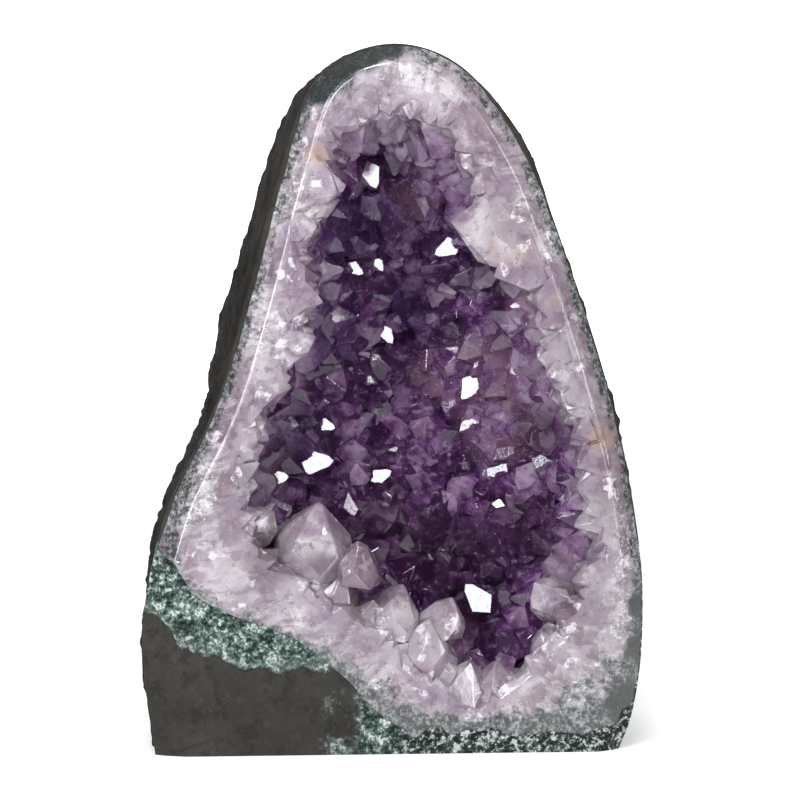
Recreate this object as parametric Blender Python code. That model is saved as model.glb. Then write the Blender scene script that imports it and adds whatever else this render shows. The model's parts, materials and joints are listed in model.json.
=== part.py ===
"""Amethyst cathedral geode: a basalt shell sawn open, its pale quartz band and its crust of crystals.

Metres, +Z up. The polished cut faces -Y and the geode stands on its sawn base, on z = 0, with the
origin under the middle of the whole stone. Outlines are seen from the front, as (x, z) in millimetres.
"""

import math
import random

import bmesh
import bpy
from mathutils import Matrix, Vector, noise
from mathutils.bvhtree import BVHTree

MM = 0.001

# Driving sizes of the whole stone
DEPTH = 0.150
CHAMFER_WIDTH = 0.009
CHAMFER_DROP = 0.006
SIDE_BULGE = 0.045
BACK_ROUNDNESS = 3.2
FACE_Y = -DEPTH / 2

# Front edge of the stone, from the left foot over the top to the right foot
STONE_OUTLINE = [
    (-97, 0), (-102, 30), (-103, 62), (-94, 105), (-75, 150), (-60, 199), (-48, 245), (-33, 286),
    (-3, 301), (29, 291), (55, 256), (74, 209), (94, 145), (105, 86), (106, 45), (102, 16), (96, 0),
]

# Where the pale quartz meets the dark basalt, clockwise from the left side above the basalt foot
QUARTZ_OUTLINE = [
    (-96, 90), (-91, 106), (-72, 151), (-57, 199), (-45, 244), (-31, 283), (-3, 298), (27, 288),
    (52, 254), (71, 208), (91, 144), (102, 86), (103, 45), (97, 22), (80, 11), (40, 12), (4, 12),
    (-10, 20), (-22, 33), (-44, 50), (-70, 60), (-86, 70),
]

# Wall of the hollow, which the crystals grow on
HOLLOW_OUTLINE = [
    (-4, 276), (20, 271), (37, 254), (48, 232), (64, 209), (70, 184), (78, 156), (88, 128), (90, 100),
    (88, 80), (76, 55), (54, 32), (32, 20), (12, 30), (-8, 48), (-32, 64), (-56, 80), (-68, 108),
    (-63, 142), (-50, 170), (-44, 200), (-41, 232), (-28, 262),
]
BOWL_CENTRE = (4 * MM, 150 * MM)
QUARTZ_DEPTH = 0.118
HOLLOW_DEPTH = 0.096
QUARTZ_ROUNDNESS = 2.6
HOLLOW_ROUNDNESS = 2.3
UNDERCUT = 0.05
LIP = 0.020

# Touching pieces keep this gap
GAP = 0.0003

# The crust: a thin lining that all crystals share, and three sizes of crystal
LINING = 0.0032
CRYSTAL_SEED = 11
RAY_COUNT = 5200
CRYSTAL_PASSES = [
    # across half a prism: smallest, largest; most crystals; spacing in sums of radii
    (0.0125, 0.0142, 16, 0.84),
    (0.0098, 0.0116, 92, 0.74),
    (0.0074, 0.0090, 36, 0.70),
]
CRYSTAL_LEAN = 0.34
CRYSTAL_HEIGHT = 1.6
ROOT_WIDTH = 1.3
SHOULDER_WIDTH = 1.2
PYRAMID_ANGLE = math.radians(38.2)
SHORT_FACE_SHIFT = 0.22

# Mesh density
SIDE_STEPS = 42
BASE_STEPS = 6
BACK_RINGS = 9
BOWL_STEPS = 38
BOWL_RINGS = 6

# The rough outside: swells, knobs, and a lump at the right shoulder
SWELL_SIZE = 0.0035
SWELL_WAVE = 0.045
KNOB_SIZE = 0.0012
KNOB_WAVE = 0.013
LUMPS = [
    # centre, radius, height
    (Vector((0.056, -0.050, 0.262)), 0.026, 0.0085),
    (Vector((-0.070, 0.020, 0.180)), 0.050, 0.0060),
    (Vector((0.060, 0.050, 0.120)), 0.045, -0.0060),
]

BASALT_COLOUR = (0.050, 0.047, 0.048, 1.0)
QUARTZ_COLOUR = (0.610, 0.560, 0.620, 1.0)
AMETHYST_COLOUR = (0.130, 0.050, 0.190, 1.0)


def clear_scene():
    for obj in list(bpy.data.objects):
        bpy.data.objects.remove(obj)


def material(name, colour, roughness, transmission=0.0):
    made = bpy.data.materials.new(name)
    made.use_nodes = True
    shader = made.node_tree.nodes["Principled BSDF"]
    shader.inputs["Base Color"].default_value = colour
    shader.inputs["Roughness"].default_value = roughness
    shader.inputs["Metallic"].default_value = 0.0
    shader.inputs["IOR"].default_value = 1.544
    shader.inputs["Transmission Weight"].default_value = transmission
    return made


def smooth_outline(points, steps, closed):
    """A Catmull-Rom curve through the points, in metres, read at even steps along its length."""
    corners = [Vector((x * MM, z * MM)) for x, z in points]
    last = len(corners)
    if closed:
        spans = [[corners[(i + j) % last] for j in (-1, 0, 1, 2)] for i in range(last)]
    else:
        ends = [corners[0]] + corners + [corners[-1]]
        spans = [ends[i:i + 4] for i in range(last - 1)]
    fine = []
    per_span = 24
    for a, b, c, d in spans:
        for k in range(per_span):
            t = k / per_span
            fine.append(0.5 * (2 * b + (c - a) * t + (2 * a - 5 * b + 4 * c - d) * t ** 2
                               + (3 * b - a - 3 * c + d) * t ** 3))
    fine.append(corners[0] if closed else corners[-1])
    reach = [0.0]
    for a, b in zip(fine, fine[1:]):
        reach.append(reach[-1] + (b - a).length)
    count = steps if closed else steps + 1
    even = []
    k = 0
    for i in range(count):
        want = reach[-1] * i / steps
        while k < len(reach) - 2 and reach[k + 1] < want:
            k += 1
        share = (want - reach[k]) / max(reach[k + 1] - reach[k], 1e-9)
        even.append(fine[k].lerp(fine[k + 1], share))
    return even


def inset(outline, width, closed):
    """The outline moved inwards. Both outlines run clockwise, so inwards is to the right of the way."""
    last = len(outline)
    moved = []
    for i, point in enumerate(outline):
        before = outline[i - 1] if closed or i else point
        after = outline[(i + 1) % last] if closed or i < last - 1 else point
        way = (after - before).normalized()
        inwards = Vector((way.y, -way.x))
        if not closed and i in (0, last - 1):
            inwards = Vector((math.copysign(1.0, inwards.x), 0.0))
        moved.append(point + inwards * width)
    return moved


def roughen(point, swell, knob):
    """How far the rough outside stands out at this point."""
    height = swell * noise.noise(point / SWELL_WAVE + Vector((3.1, 0.7, 5.3)))
    height += knob * noise.noise(point / KNOB_WAVE)
    return height


def closed_mesh(name, rings, front_centre, back_centre):
    """A solid from rings of equal length, closed by a fan of faces at each end.

    Every four-sided patch is split along the same diagonal, so nested solids keep their gap.
    """
    shape = bmesh.new()
    loops = [[shape.verts.new(p) for p in ring] for ring in rings]
    size = len(rings[0])
    for low, high in zip(loops, loops[1:]):
        for i in range(size):
            j = (i + 1) % size
            shape.faces.new((low[i], low[j], high[j]))
            shape.faces.new((low[i], high[j], high[i]))
    for loop, centre in ((loops[0], front_centre), (loops[-1], back_centre)):
        middle = shape.verts.new(centre)
        for i in range(size):
            shape.faces.new((loop[i], loop[(i + 1) % size], middle))
    bmesh.ops.recalc_face_normals(shape, faces=shape.faces)
    mesh = bpy.data.meshes.new(name)
    shape.to_mesh(mesh)
    shape.free()
    obj = bpy.data.objects.new(name, mesh)
    bpy.context.scene.collection.objects.link(obj)
    return obj


def superellipse(t, roundness):
    return (1.0 - t ** roundness) ** (1.0 / roundness)


def foot_line(left, right):
    """The points between the two feet, from right to left, on the sawn base."""
    return [right.lerp(left, i / BASE_STEPS) for i in range(1, BASE_STEPS)]


def stone_ring(side, y, across, tall):
    line = [Vector((p.x * across, p.y * tall)) for p in side]
    return [Vector((p.x, y, p.y)) for p in line + foot_line(line[0], line[-1])]


def outside_of(point, front_share):
    """The point moved by the swells, knobs and lumps of the outside. The sawn base stays flat."""
    way = Vector((point.x, point.y * 0.6, max(point.z - 0.11, -0.05))).normalized()
    height = roughen(point, SWELL_SIZE, KNOB_SIZE) * front_share
    for centre, radius, size in LUMPS:
        height += size * math.exp(-((point - centre).length / radius) ** 2)
    moved = point + way * height
    moved.z = 0.0 if point.z < 1e-6 else max(moved.z, 0.0012)
    return moved


def whole_stone():
    """The stone with its rough outside and its flat, chamfered front, before it is hollowed."""
    side = smooth_outline(STONE_OUTLINE, SIDE_STEPS, closed=False)
    face = inset(side, CHAMFER_WIDTH, closed=False)
    edge_y = FACE_Y + CHAMFER_DROP
    rings = [stone_ring(face, FACE_Y, 1.0, 1.0), stone_ring(side, edge_y, 1.0, 1.0)]
    for k in range(1, BACK_RINGS):
        t = math.sin(k / BACK_RINGS * math.pi / 2)
        scale = superellipse(t, BACK_ROUNDNESS)
        bulge = 1.0 + SIDE_BULGE * math.sin(math.pi * min(t / 0.7, 1.0))
        y = edge_y + (DEPTH - CHAMFER_DROP) * t
        front_share = min(k / 3, 1.0)
        ring = stone_ring(side, y, scale * bulge, scale ** 0.8)
        rings.append([outside_of(p, front_share) for p in ring])
    front = Vector((0.0, FACE_Y, 0.15))
    back = Vector((0.0, FACE_Y + DEPTH, 0.075))
    return closed_mesh("whole_stone", rings, front, back)


def bowl(name, outline, depth, roundness, grow, front, undercut=0.0):
    """A closed bowl-shaped solid behind the outline. grow makes it larger all round, or smaller."""
    line = inset(smooth_outline(outline, BOWL_STEPS, closed=True), -grow, closed=True)
    middle = Vector(BOWL_CENTRE)
    rings = [[Vector((p.x, FACE_Y - front, p.y)) for p in line]] if front > 0 else []
    deep = depth + grow
    for k in range(BOWL_RINGS):
        t = math.sin(k / BOWL_RINGS * math.pi / 2)
        scale = superellipse(t, roundness) * (1.0 + undercut * math.sin(math.pi * t) * (1.0 - t))
        ring = []
        for p in line:
            q = middle + (p - middle) * scale
            point = Vector((q.x, FACE_Y + deep * t, q.y))
            out = Vector((p.x - middle.x, 0.0, p.y - middle.y)).normalized()
            ring.append(point + out * roughen(point, 0.004, 0.0) * math.sin(math.pi * t))
        rings.append(ring)
    start = Vector((middle.x, rings[0][0].y, middle.y))
    end = Vector((middle.x, FACE_Y + deep, middle.y))
    return closed_mesh(name, rings, start, end)


def hide(*helpers):
    for helper in helpers:
        helper.hide_render = True
        helper.display_type = "WIRE"


def boolean(obj, operation, other, solver="EXACT"):
    cut = obj.modifiers.new(operation.lower() + "_" + other.name, "BOOLEAN")
    cut.operation = operation
    cut.object = other
    cut.solver = solver
    hide(other)


def settled(obj):
    """Writes the object's modifiers into its mesh, so that the next piece can be fitted to it."""
    graph = bpy.context.evaluated_depsgraph_get()
    mesh = bpy.data.meshes.new_from_object(obj.evaluated_get(graph))
    obj.modifiers.clear()
    obj.data = mesh
    return obj


def surface_of(obj):
    points = [obj.matrix_world @ v.co for v in obj.data.vertices]
    return BVHTree.FromPolygons(points, [tuple(f.vertices) for f in obj.data.polygons])


def grow_sites(wall):
    """Where crystals stand: (root, axis, half width, turn), found by rays from the middle of the hollow."""
    draw = random.Random(CRYSTAL_SEED)
    rays = []
    for _ in range(RAY_COUNT):
        z = draw.uniform(0.055, 0.245)
        start = Vector((-0.012 + 0.10 * (0.25 - z), FACE_Y + draw.uniform(0.010, 0.050), z))
        way = Vector((draw.gauss(0, 1), draw.gauss(0, 1), draw.gauss(0, 1))).normalized()
        lean = Vector((draw.uniform(-1, 1), draw.uniform(-1, 1), draw.uniform(-1, 1)))
        root, normal, _, _ = wall.ray_cast(start, way)
        if root is None or root.y < FACE_Y + 0.0005:
            continue
        if normal.dot(way) > 0:
            normal = -normal
        rays.append((root, normal, lean, draw.random(), draw.random()))
    sites = []
    for smallest, largest, most, spacing in CRYSTAL_PASSES:
        placed = 0
        for root, normal, lean, share, turn in rays:
            size = smallest + (largest - smallest) * share
            free = all((root - other[0]).length > spacing * (size + other[2]) for other in sites)
            if placed < most and free:
                axis = (normal + lean * CRYSTAL_LEAN).normalized()
                sites.append((root, axis, size, turn * math.tau))
                placed += 1
    return sites


def crystal(root, axis, half_width, turn):
    """A quartz crystal with flat faces: a six-sided prism cut to a point by three long and three short faces."""
    length = half_width * CRYSTAL_HEIGHT
    sunk = LINING * 0.6
    shape = bmesh.new()
    bmesh.ops.create_cone(shape, segments=6, cap_ends=True, radius1=half_width * ROOT_WIDTH,
                          radius2=half_width * SHOULDER_WIDTH, depth=length + sunk)
    bmesh.ops.translate(shape, verts=shape.verts, vec=(0, 0, (length - sunk) / 2))
    for k in range(6):
        angle = math.radians(30 + 60 * k)
        out = Vector((math.cos(angle), math.sin(angle), 0.0))
        slope = out * math.cos(PYRAMID_ANGLE) + Vector((0, 0, math.sin(PYRAMID_ANGLE)))
        apex = Vector((0, 0, length + (half_width * SHORT_FACE_SHIFT if k % 2 else 0.0)))
        whole = shape.verts[:] + shape.edges[:] + shape.faces[:]
        cut = bmesh.ops.bisect_plane(shape, geom=whole, plane_co=apex, plane_no=slope, clear_outer=True)
        rim = [e for e in cut["geom_cut"] if isinstance(e, bmesh.types.BMEdge)]
        bmesh.ops.contextual_create(shape, geom=rim)
    bmesh.ops.recalc_face_normals(shape, faces=shape.faces)
    place = Matrix.Translation(root) @ axis.to_track_quat("Z", "Y").to_matrix().to_4x4()
    bmesh.ops.transform(shape, verts=shape.verts, matrix=place @ Matrix.Rotation(turn, 4, "Z"))
    mesh = bpy.data.meshes.new("crystal")
    shape.to_mesh(mesh)
    shape.free()
    return bpy.data.objects.new("crystal", mesh)


def join_crystals(lining, sites):
    """One body of the lining and every crystal. EXACT leaves open edges among so many overlapping crystals."""
    group = bpy.data.collections.new("crystals")
    bpy.context.scene.collection.children.link(group)
    for site in sites:
        group.objects.link(crystal(*site))
    join = lining.modifiers.new("join_crystals", "BOOLEAN")
    join.operation = "UNION"
    join.operand_type = "COLLECTION"
    join.collection = group
    join.solver = "MANIFOLD"
    settled(lining)
    for helper in list(group.objects):
        bpy.data.objects.remove(helper)
    bpy.data.collections.remove(group)


def keep_largest(obj):
    """Fills pockets sealed between crystals and drops loose chips: only the largest shell of faces stays."""
    shape = bmesh.new()
    shape.from_mesh(obj.data)
    unseen = set(shape.faces)
    shells = []
    while unseen:
        shell = [unseen.pop()]
        for face in shell:
            near = {other for edge in face.edges for other in edge.link_faces} & unseen
            unseen -= near
            shell.extend(near)
        shells.append(shell)
    shells.sort(key=len)
    for shell in shells[:-1]:
        bmesh.ops.delete(shape, geom=shell, context="FACES")
    shape.to_mesh(obj.data)
    shape.free()


def hollow_bowl(name, grow, front):
    return bowl(name, HOLLOW_OUTLINE, HOLLOW_DEPTH, HOLLOW_ROUNDNESS, grow, front, UNDERCUT)


def crystal_crust(wall):
    """The lining of the hollow with every crystal joined to it, cut flush with the polished face."""
    lining = hollow_bowl("amethyst_crust", GAP * 3, LIP)
    boolean(lining, "DIFFERENCE", hollow_bowl("lining_cut", -LINING, LIP * 2))
    settled(lining)
    join_crystals(lining, grow_sites(wall))
    boolean(lining, "INTERSECT", hollow_bowl("crust_room", -GAP, 0.0), solver="MANIFOLD")
    settled(lining)
    keep_largest(lining)
    return lining


def finish(obj, look):
    obj.data.materials.clear()
    obj.data.materials.append(look)
    for face in obj.data.polygons:
        face.material_index = 0
        face.use_smooth = False


def centre_on_base(pieces):
    """Moves the pieces so that the origin is under the middle of the whole stone's box."""
    points = [v.co for piece in pieces for v in piece.data.vertices]
    low = [min(p[i] for p in points) for i in range(3)]
    high = [max(p[i] for p in points) for i in range(3)]
    shift = Vector((-(low[0] + high[0]) / 2, -(low[1] + high[1]) / 2, -low[2]))
    for piece in pieces:
        piece.data.transform(Matrix.Translation(shift))


def build():
    clear_scene()
    shell = whole_stone()
    shell.name = "basalt_shell"
    band = bowl("quartz_band", QUARTZ_OUTLINE, QUARTZ_DEPTH, QUARTZ_ROUNDNESS, 0.0, LIP)
    boolean(band, "INTERSECT", shell)
    boolean(band, "DIFFERENCE", hollow_bowl("hollow_cut", 0.0, LIP * 2))
    settled(band)
    shell.hide_render = False
    shell.display_type = "TEXTURED"
    socket = bowl("band_cut", QUARTZ_OUTLINE, QUARTZ_DEPTH, QUARTZ_ROUNDNESS, GAP, LIP)
    boolean(shell, "DIFFERENCE", socket)
    settled(shell)
    crust = crystal_crust(surface_of(band))
    finish(shell, material("basalt", BASALT_COLOUR, 0.85))
    finish(band, material("quartz", QUARTZ_COLOUR, 0.12))
    finish(crust, material("amethyst", AMETHYST_COLOUR, 0.08, transmission=0.5))
    centre_on_base([shell, band, crust])


build()
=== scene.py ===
# %% [markdown]
# # An amethyst cathedral geode
# A geode like this began as a bubble in basalt lava. A thin green skin of celadonite lined the bubble,
# pale quartz grew on it in columns, and the last, purple quartz crystals closed into points that face the
# hollow. The stone is sawn flat at the foot, cut open at the front, and its cut rim is ground and
# polished.
#
# The CAD frame gives three solids: the basalt shell, the quartz band and the crystal crust. Each one is
# replaced here by a finer mesh of the same shape, built from the same outlines, because their faces are
# too few to shade well.

# %% Load the frame
import json
import math
import random

import bmesh
import bpy
import numpy
from mathutils import Matrix, Vector, noise
from mathutils.bvhtree import BVHTree
from mathutils.kdtree import KDTree

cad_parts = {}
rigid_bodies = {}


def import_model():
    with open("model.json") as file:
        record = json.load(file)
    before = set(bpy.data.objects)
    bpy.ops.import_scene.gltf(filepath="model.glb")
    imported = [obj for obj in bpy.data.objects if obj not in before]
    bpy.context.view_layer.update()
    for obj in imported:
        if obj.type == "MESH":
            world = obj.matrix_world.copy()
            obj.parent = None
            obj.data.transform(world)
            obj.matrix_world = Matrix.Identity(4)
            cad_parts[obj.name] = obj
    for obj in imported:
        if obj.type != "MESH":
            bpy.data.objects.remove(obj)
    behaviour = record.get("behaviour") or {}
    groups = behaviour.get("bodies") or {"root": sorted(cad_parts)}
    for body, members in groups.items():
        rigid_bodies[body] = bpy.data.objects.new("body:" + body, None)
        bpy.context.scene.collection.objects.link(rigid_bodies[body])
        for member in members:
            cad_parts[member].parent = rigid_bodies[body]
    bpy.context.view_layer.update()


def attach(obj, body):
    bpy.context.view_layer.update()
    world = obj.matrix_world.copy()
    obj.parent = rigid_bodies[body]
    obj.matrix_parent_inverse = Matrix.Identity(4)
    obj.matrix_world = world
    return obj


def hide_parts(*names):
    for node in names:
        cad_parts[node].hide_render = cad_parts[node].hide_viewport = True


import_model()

# %% [markdown]
# ## Driving sizes
# Every outline is seen from the front, as (x, z) in millimetres, and all other sizes are in metres. The
# polished cut faces -Y. The frame has its origin under the middle of the stone's box, a little beside the
# middle that the outlines were drawn around, so all pieces are moved by that shift at the end.

# %% Sizes of the stone
MM = 0.001
DEPTH = 0.150
FACE_Y = -DEPTH / 2
ORIGIN_SHIFT = Vector((-0.00159, 0.0, 0.0))
CHAMFER_WIDTH = 0.009
CHAMFER_DROP = 0.006
CREASE_WIDTH = 0.0011
SIDE_BULGE = 0.030
LEFT_SHOULDER = 0.0072
LEFT_SHOULDER_HEIGHT = 0.228
LEFT_SHOULDER_REACH = 0.058
WIDEST = 0.7
BACK_ROUNDNESS = 3.2
PIECE_GAP = 0.00012

# %% Outlines and bowls
STONE_OUTLINE = [
    (-102, 0), (-106, 30), (-106.5, 62), (-96, 105), (-75, 150), (-60, 199), (-48, 245), (-33, 286),
    (-3, 301), (29, 291), (55, 256), (74, 209), (94, 145), (105, 86), (106, 45), (102, 16), (96, 0),
]
QUARTZ_OUTLINE = [
    (-96, 90), (-91, 106), (-72, 151), (-57, 199), (-45, 244), (-31, 283), (-3, 298), (27, 288),
    (52, 254), (71, 208), (91, 144), (102, 86), (103, 45), (97, 22), (80, 11), (40, 12), (4, 12),
    (-10, 20), (-22, 33), (-44, 50), (-70, 60), (-86, 70),
]
HOLLOW_OUTLINE = [
    (-4, 276), (20, 271), (37, 254), (48, 232), (64, 209), (70, 184), (78, 156), (88, 128), (90, 100),
    (88, 80), (76, 55), (54, 32), (32, 20), (12, 30), (-8, 48), (-32, 64), (-56, 80), (-68, 108),
    (-63, 142), (-50, 170), (-44, 200), (-41, 232), (-28, 262),
]
VISIBLE_OUTLINE = [
    (-3, 265), (20, 260), (28, 245), (33, 228), (50, 210), (58, 196), (58, 180), (63, 156), (73, 137),
    (77, 122), (74, 107), (77, 84), (65, 68), (52, 56), (42, 39), (31, 28), (22, 37), (16, 56), (-3, 65),
    (-18, 75), (-26, 87), (-43, 96), (-55, 111), (-55, 128), (-52, 148), (-43, 162), (-34, 175),
    (-32, 194), (-31, 218), (-22, 237), (-26, 252), (-18, 261),
]
BOWL_CENTRE = Vector((0.004, 0.150))
QUARTZ_BOWL = {"depth": 0.118, "roundness": 2.6, "undercut": 0.0}
HOLLOW_BOWL = {"depth": 0.096, "roundness": 2.3, "undercut": 0.05}


def held(value):
    """The value, held between 0 and 1."""
    return min(max(value, 0.0), 1.0)


# %% [markdown]
# ## Lines across the rim
# The columns of quartz in the rim stand across it, from the basalt to the hollow. A straight spine runs
# down the middle of the hollow, and each line across the rim leaves the spine at a right angle, so the
# lines never cross. The same lines carry the rings of faces of both the basalt and the quartz, and later
# the pattern of the columns. On the polished face the quartz spreads nearly to the edge of the stone,
# with a ragged border, where the CAD leaves a thin strip of basalt.

# %% Smooth outlines
def smooth_line(points, steps, closed):
    """A Catmull-Rom curve through the points, in metres, read at even steps along its length."""
    corners = [Vector((x * MM, z * MM)) for x, z in points]
    last = len(corners)
    if closed:
        spans = [[corners[(i + j) % last] for j in (-1, 0, 1, 2)] for i in range(last)]
    else:
        ends = [corners[0]] + corners + [corners[-1]]
        spans = [ends[i:i + 4] for i in range(last - 1)]
    fine = []
    for a, b, c, d in spans:
        for k in range(24):
            t = k / 24
            fine.append(0.5 * (2 * b + (c - a) * t + (2 * a - 5 * b + 4 * c - d) * t ** 2
                               + (3 * b - a - 3 * c + d) * t ** 3))
    fine.append(corners[0] if closed else corners[-1])
    reach = numpy.cumsum([0.0] + [(b - a).length for a, b in zip(fine, fine[1:])])
    stops = numpy.linspace(0.0, reach[-1], steps + 1)[:steps if closed else steps + 1]
    xs = numpy.interp(stops, reach, [p.x for p in fine])
    zs = numpy.interp(stops, reach, [p.y for p in fine])
    return [Vector(pair) for pair in zip(xs, zs)]


AROUND = 560
side_line = smooth_line(STONE_OUTLINE, 900, closed=False)
stone_line = side_line + [side_line[-1].lerp(side_line[0], i / 100) for i in range(1, 100)]
quartz_line = smooth_line(QUARTZ_OUTLINE, 700, closed=True)
hollow_line = smooth_line(HOLLOW_OUTLINE, AROUND, closed=True)

# %% The spine and the lines across the rim
SPINE_TOP = Vector((-0.003, 0.238))
SPINE_FOOT = Vector((0.026, 0.062))
spine = SPINE_FOOT - SPINE_TOP


def on_spine(point):
    share = (point - SPINE_TOP).dot(spine) / spine.length_squared
    return SPINE_TOP + spine * held(share)


def fence(line):
    """A ribbon that stands on an outline, to find by ray where a line across the rim meets it."""
    size = len(line)
    points = [Vector((p.x, y, p.y)) for y in (-1, 1) for p in line]
    sides = [(i, (i + 1) % size, size + (i + 1) % size, size + i) for i in range(size)]
    return BVHTree.FromPolygons(points, sides)


def cross(line):
    """Where each line across the rim, through a point of the hollow's edge, meets the outline."""
    ribbon = fence(line)
    found = []
    for point in hollow_line:
        start = on_spine(point)
        way = (point - start).normalized()
        hit = ribbon.ray_cast(Vector((start.x, 0, start.y)), Vector((way.x, 0, way.y)))[0]
        found.append(Vector((hit.x, hit.z)))
    return found


quartz_edge = cross(quartz_line)
stone_edge = cross(stone_line)
visible_edge = cross(smooth_line(VISIBLE_OUTLINE, 400, closed=True))
for corner in (side_line[0], side_line[-1]):
    nearest = min(range(AROUND), key=lambda k: (stone_edge[k] - corner).length)
    stone_edge[nearest] = corner.copy()

# %% The ragged border of the quartz
NARROW_STRIP = 0.0095
STRIP_RANGE = 0.0035
STRIP_SPREAD = 0.78
RAG_SHARE = 0.14
RAG_LENGTH = 0.009
FOOT_HEIGHT = 0.030
FOOT_FADE = 0.010
FOOT_SPREAD = 0.26
FOOT_RAG_SHARE = 0.75
FOOT_RAG_LENGTH = 0.011
FOOT_MOST = 0.7


def spread_share(quartz, stone):
    """The share of the basalt's strip that quartz covers: most where it is narrow, tongues at the foot."""
    share = held((NARROW_STRIP - (stone - quartz).length) / STRIP_RANGE)
    rag = RAG_SHARE * noise.noise(Vector((quartz.x, quartz.y, 0.0)) / RAG_LENGTH)
    foot = held((FOOT_HEIGHT - quartz.y) / FOOT_FADE) * held(quartz.x / FOOT_FADE)
    tongue = FOOT_SPREAD + FOOT_RAG_SHARE * noise.noise(Vector((quartz.x, 1.0, 0.0)) / FOOT_RAG_LENGTH)
    return max((STRIP_SPREAD + rag) * share, min(max(0.0, tongue) * foot, FOOT_MOST))


face_edge = [a.lerp(b, spread_share(a, b)) for a, b in zip(quartz_edge, stone_edge)]
narrowest = min((a - b).length for a, b in zip(face_edge, hollow_line))
print("rim width:", round(narrowest / MM, 1), "mm at least")

# %% [markdown]
# ## The polished face
# The face is flat, with a chamfer along the outer edge of the stone. The crease between the two was
# rounded by the polishing, and that thin round is what catches the lamps as a white line.

# %% Height of the polished face
chamfer_tree = KDTree(len(side_line))
for index, point in enumerate(side_line):
    chamfer_tree.insert((point.x, point.y, 0.0), index)
chamfer_tree.balance()


def edge_distance(point):
    return chamfer_tree.find((point.x, point.y, 0.0))[2]


def face_height(point):
    """The polished face's place along Y: flat, then past a rounded crease, falling along the chamfer."""
    slope = CHAMFER_DROP / CHAMFER_WIDTH
    beyond = CHAMFER_WIDTH - edge_distance(point)
    if beyond < -CREASE_WIDTH:
        return FACE_Y
    if beyond > CREASE_WIDTH:
        return FACE_Y + slope * beyond
    return FACE_Y + slope * (beyond + CREASE_WIDTH) ** 2 / (4 * CREASE_WIDTH)


# %% Shares of a line across the rim
def rim_shares(outer, inner, count):
    """Shares of the way from outer to inner, drawn together where the line crosses the chamfer's crease."""
    width = (inner - outer).length
    far, near = edge_distance(outer), edge_distance(inner)
    crease = 0.3
    spread = 0.06
    if (far - CHAMFER_WIDTH) * (near - CHAMFER_WIDTH) < 0:
        low, high = 0.0, 1.0
        for _ in range(16):
            crease = (low + high) / 2
            inside = edge_distance(outer.lerp(inner, crease)) > CHAMFER_WIDTH
            if inside == (near > CHAMFER_WIDTH):
                high = crease
            else:
                low = crease
        spread = CREASE_WIDTH * 1.6 / width
    crease = min(max(crease, spread + 0.02), 1.0 - spread - 0.02)
    knots = [0.0, crease - spread, crease + spread, 1.0]
    at = [0.0, count * 0.2, count * 0.45, count]
    return numpy.interp(range(count + 1), at, knots)


# %% [markdown]
# ## A skin of rings
# Both stones are closed skins. They could be sculpted, or cut from blocks, but then their faces would be
# uneven. Here a flat grid is added instead, its rows are laid round the stone one after another, the
# first column is merged with the last, and the two open ends are filled and poked. That gives even faces
# everywhere, and every point of the skin comes from a formula.

# %% Helpers for meshes
def only(piece):
    bpy.ops.object.select_all(action="DESELECT")
    piece.select_set(True)
    bpy.context.view_layer.objects.active = piece


def ring_skin(name, rows):
    """A closed skin from rows of points, each going once round the stone."""
    around = len(rows[0])
    bpy.ops.object.select_all(action="DESELECT")
    bpy.ops.mesh.primitive_grid_add(x_subdivisions=around, y_subdivisions=len(rows) - 1)
    skin = bpy.context.object
    skin.name = name
    skin.data.name = name
    places = [c for row in rows for i in range(around + 1) for c in row[i % around]]
    skin.data.vertices.foreach_set("co", places)
    bpy.ops.object.mode_set(mode="EDIT")
    bpy.ops.mesh.select_all(action="SELECT")
    bpy.ops.mesh.remove_doubles(threshold=1e-6)
    bpy.ops.mesh.select_all(action="DESELECT")
    bpy.ops.mesh.select_mode(type="EDGE")
    bpy.ops.mesh.select_non_manifold()
    bpy.ops.mesh.fill_holes(sides=0)
    bpy.ops.mesh.select_mode(type="FACE")
    bpy.ops.mesh.select_face_by_sides(number=4, type="GREATER", extend=False)
    bpy.ops.mesh.poke()
    bpy.ops.mesh.select_all(action="SELECT")
    bpy.ops.mesh.normals_make_consistent(inside=False)
    bpy.ops.object.mode_set(mode="OBJECT")
    return skin


def open_edges(piece):
    shape = bmesh.new()
    shape.from_mesh(piece.data)
    count = sum(not edge.is_manifold for edge in shape.edges)
    shape.free()
    return count


def report(piece):
    triangles = sum(len(face.vertices) - 2 for face in piece.data.polygons)
    print(f"{piece.name}: {triangles} triangles, {open_edges(piece)} open edges")


# %% Points of the two bowls
SWELL_ORIGIN = Vector((3.1, 0.7, 5.3))
BOWL_SWELL = 0.004
BOWL_SWELL_LENGTH = 0.045


def superellipse(t, roundness):
    return (1.0 - t ** roundness) ** (1.0 / roundness)


def swell(point, size, wave):
    return size * noise.noise(point / wave + SWELL_ORIGIN)


def bowl_point(edge, t, bowl, grow=0.0):
    """A point of a bowl behind the polished face: behind its edge's point, at the share t of its depth."""
    undercut = bowl["undercut"] * math.sin(math.pi * t) * (1.0 - t)
    scale = superellipse(t, bowl["roundness"]) * (1.0 + undercut)
    across = (edge - BOWL_CENTRE).normalized()
    flat = BOWL_CENTRE + (edge + across * grow - BOWL_CENTRE) * scale
    point = Vector((flat.x, FACE_Y + (bowl["depth"] + grow) * t, flat.y))
    swelling = swell(point, BOWL_SWELL, BOWL_SWELL_LENGTH)
    return point + Vector((across.x, 0.0, across.y)) * swelling * math.sin(math.pi * t)


# %% [markdown]
# ## The basalt
# The outside is raw basalt: low swells, knobs and fine pimples that show along its silhouette. Noise in
# the mesh makes them, where a bump in the material would leave the silhouette smooth. The base stays flat
# because it was sawn. The skin starts in the socket behind the quartz, comes out at the front, turns over
# the edge of the stone and closes at the back.

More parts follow.
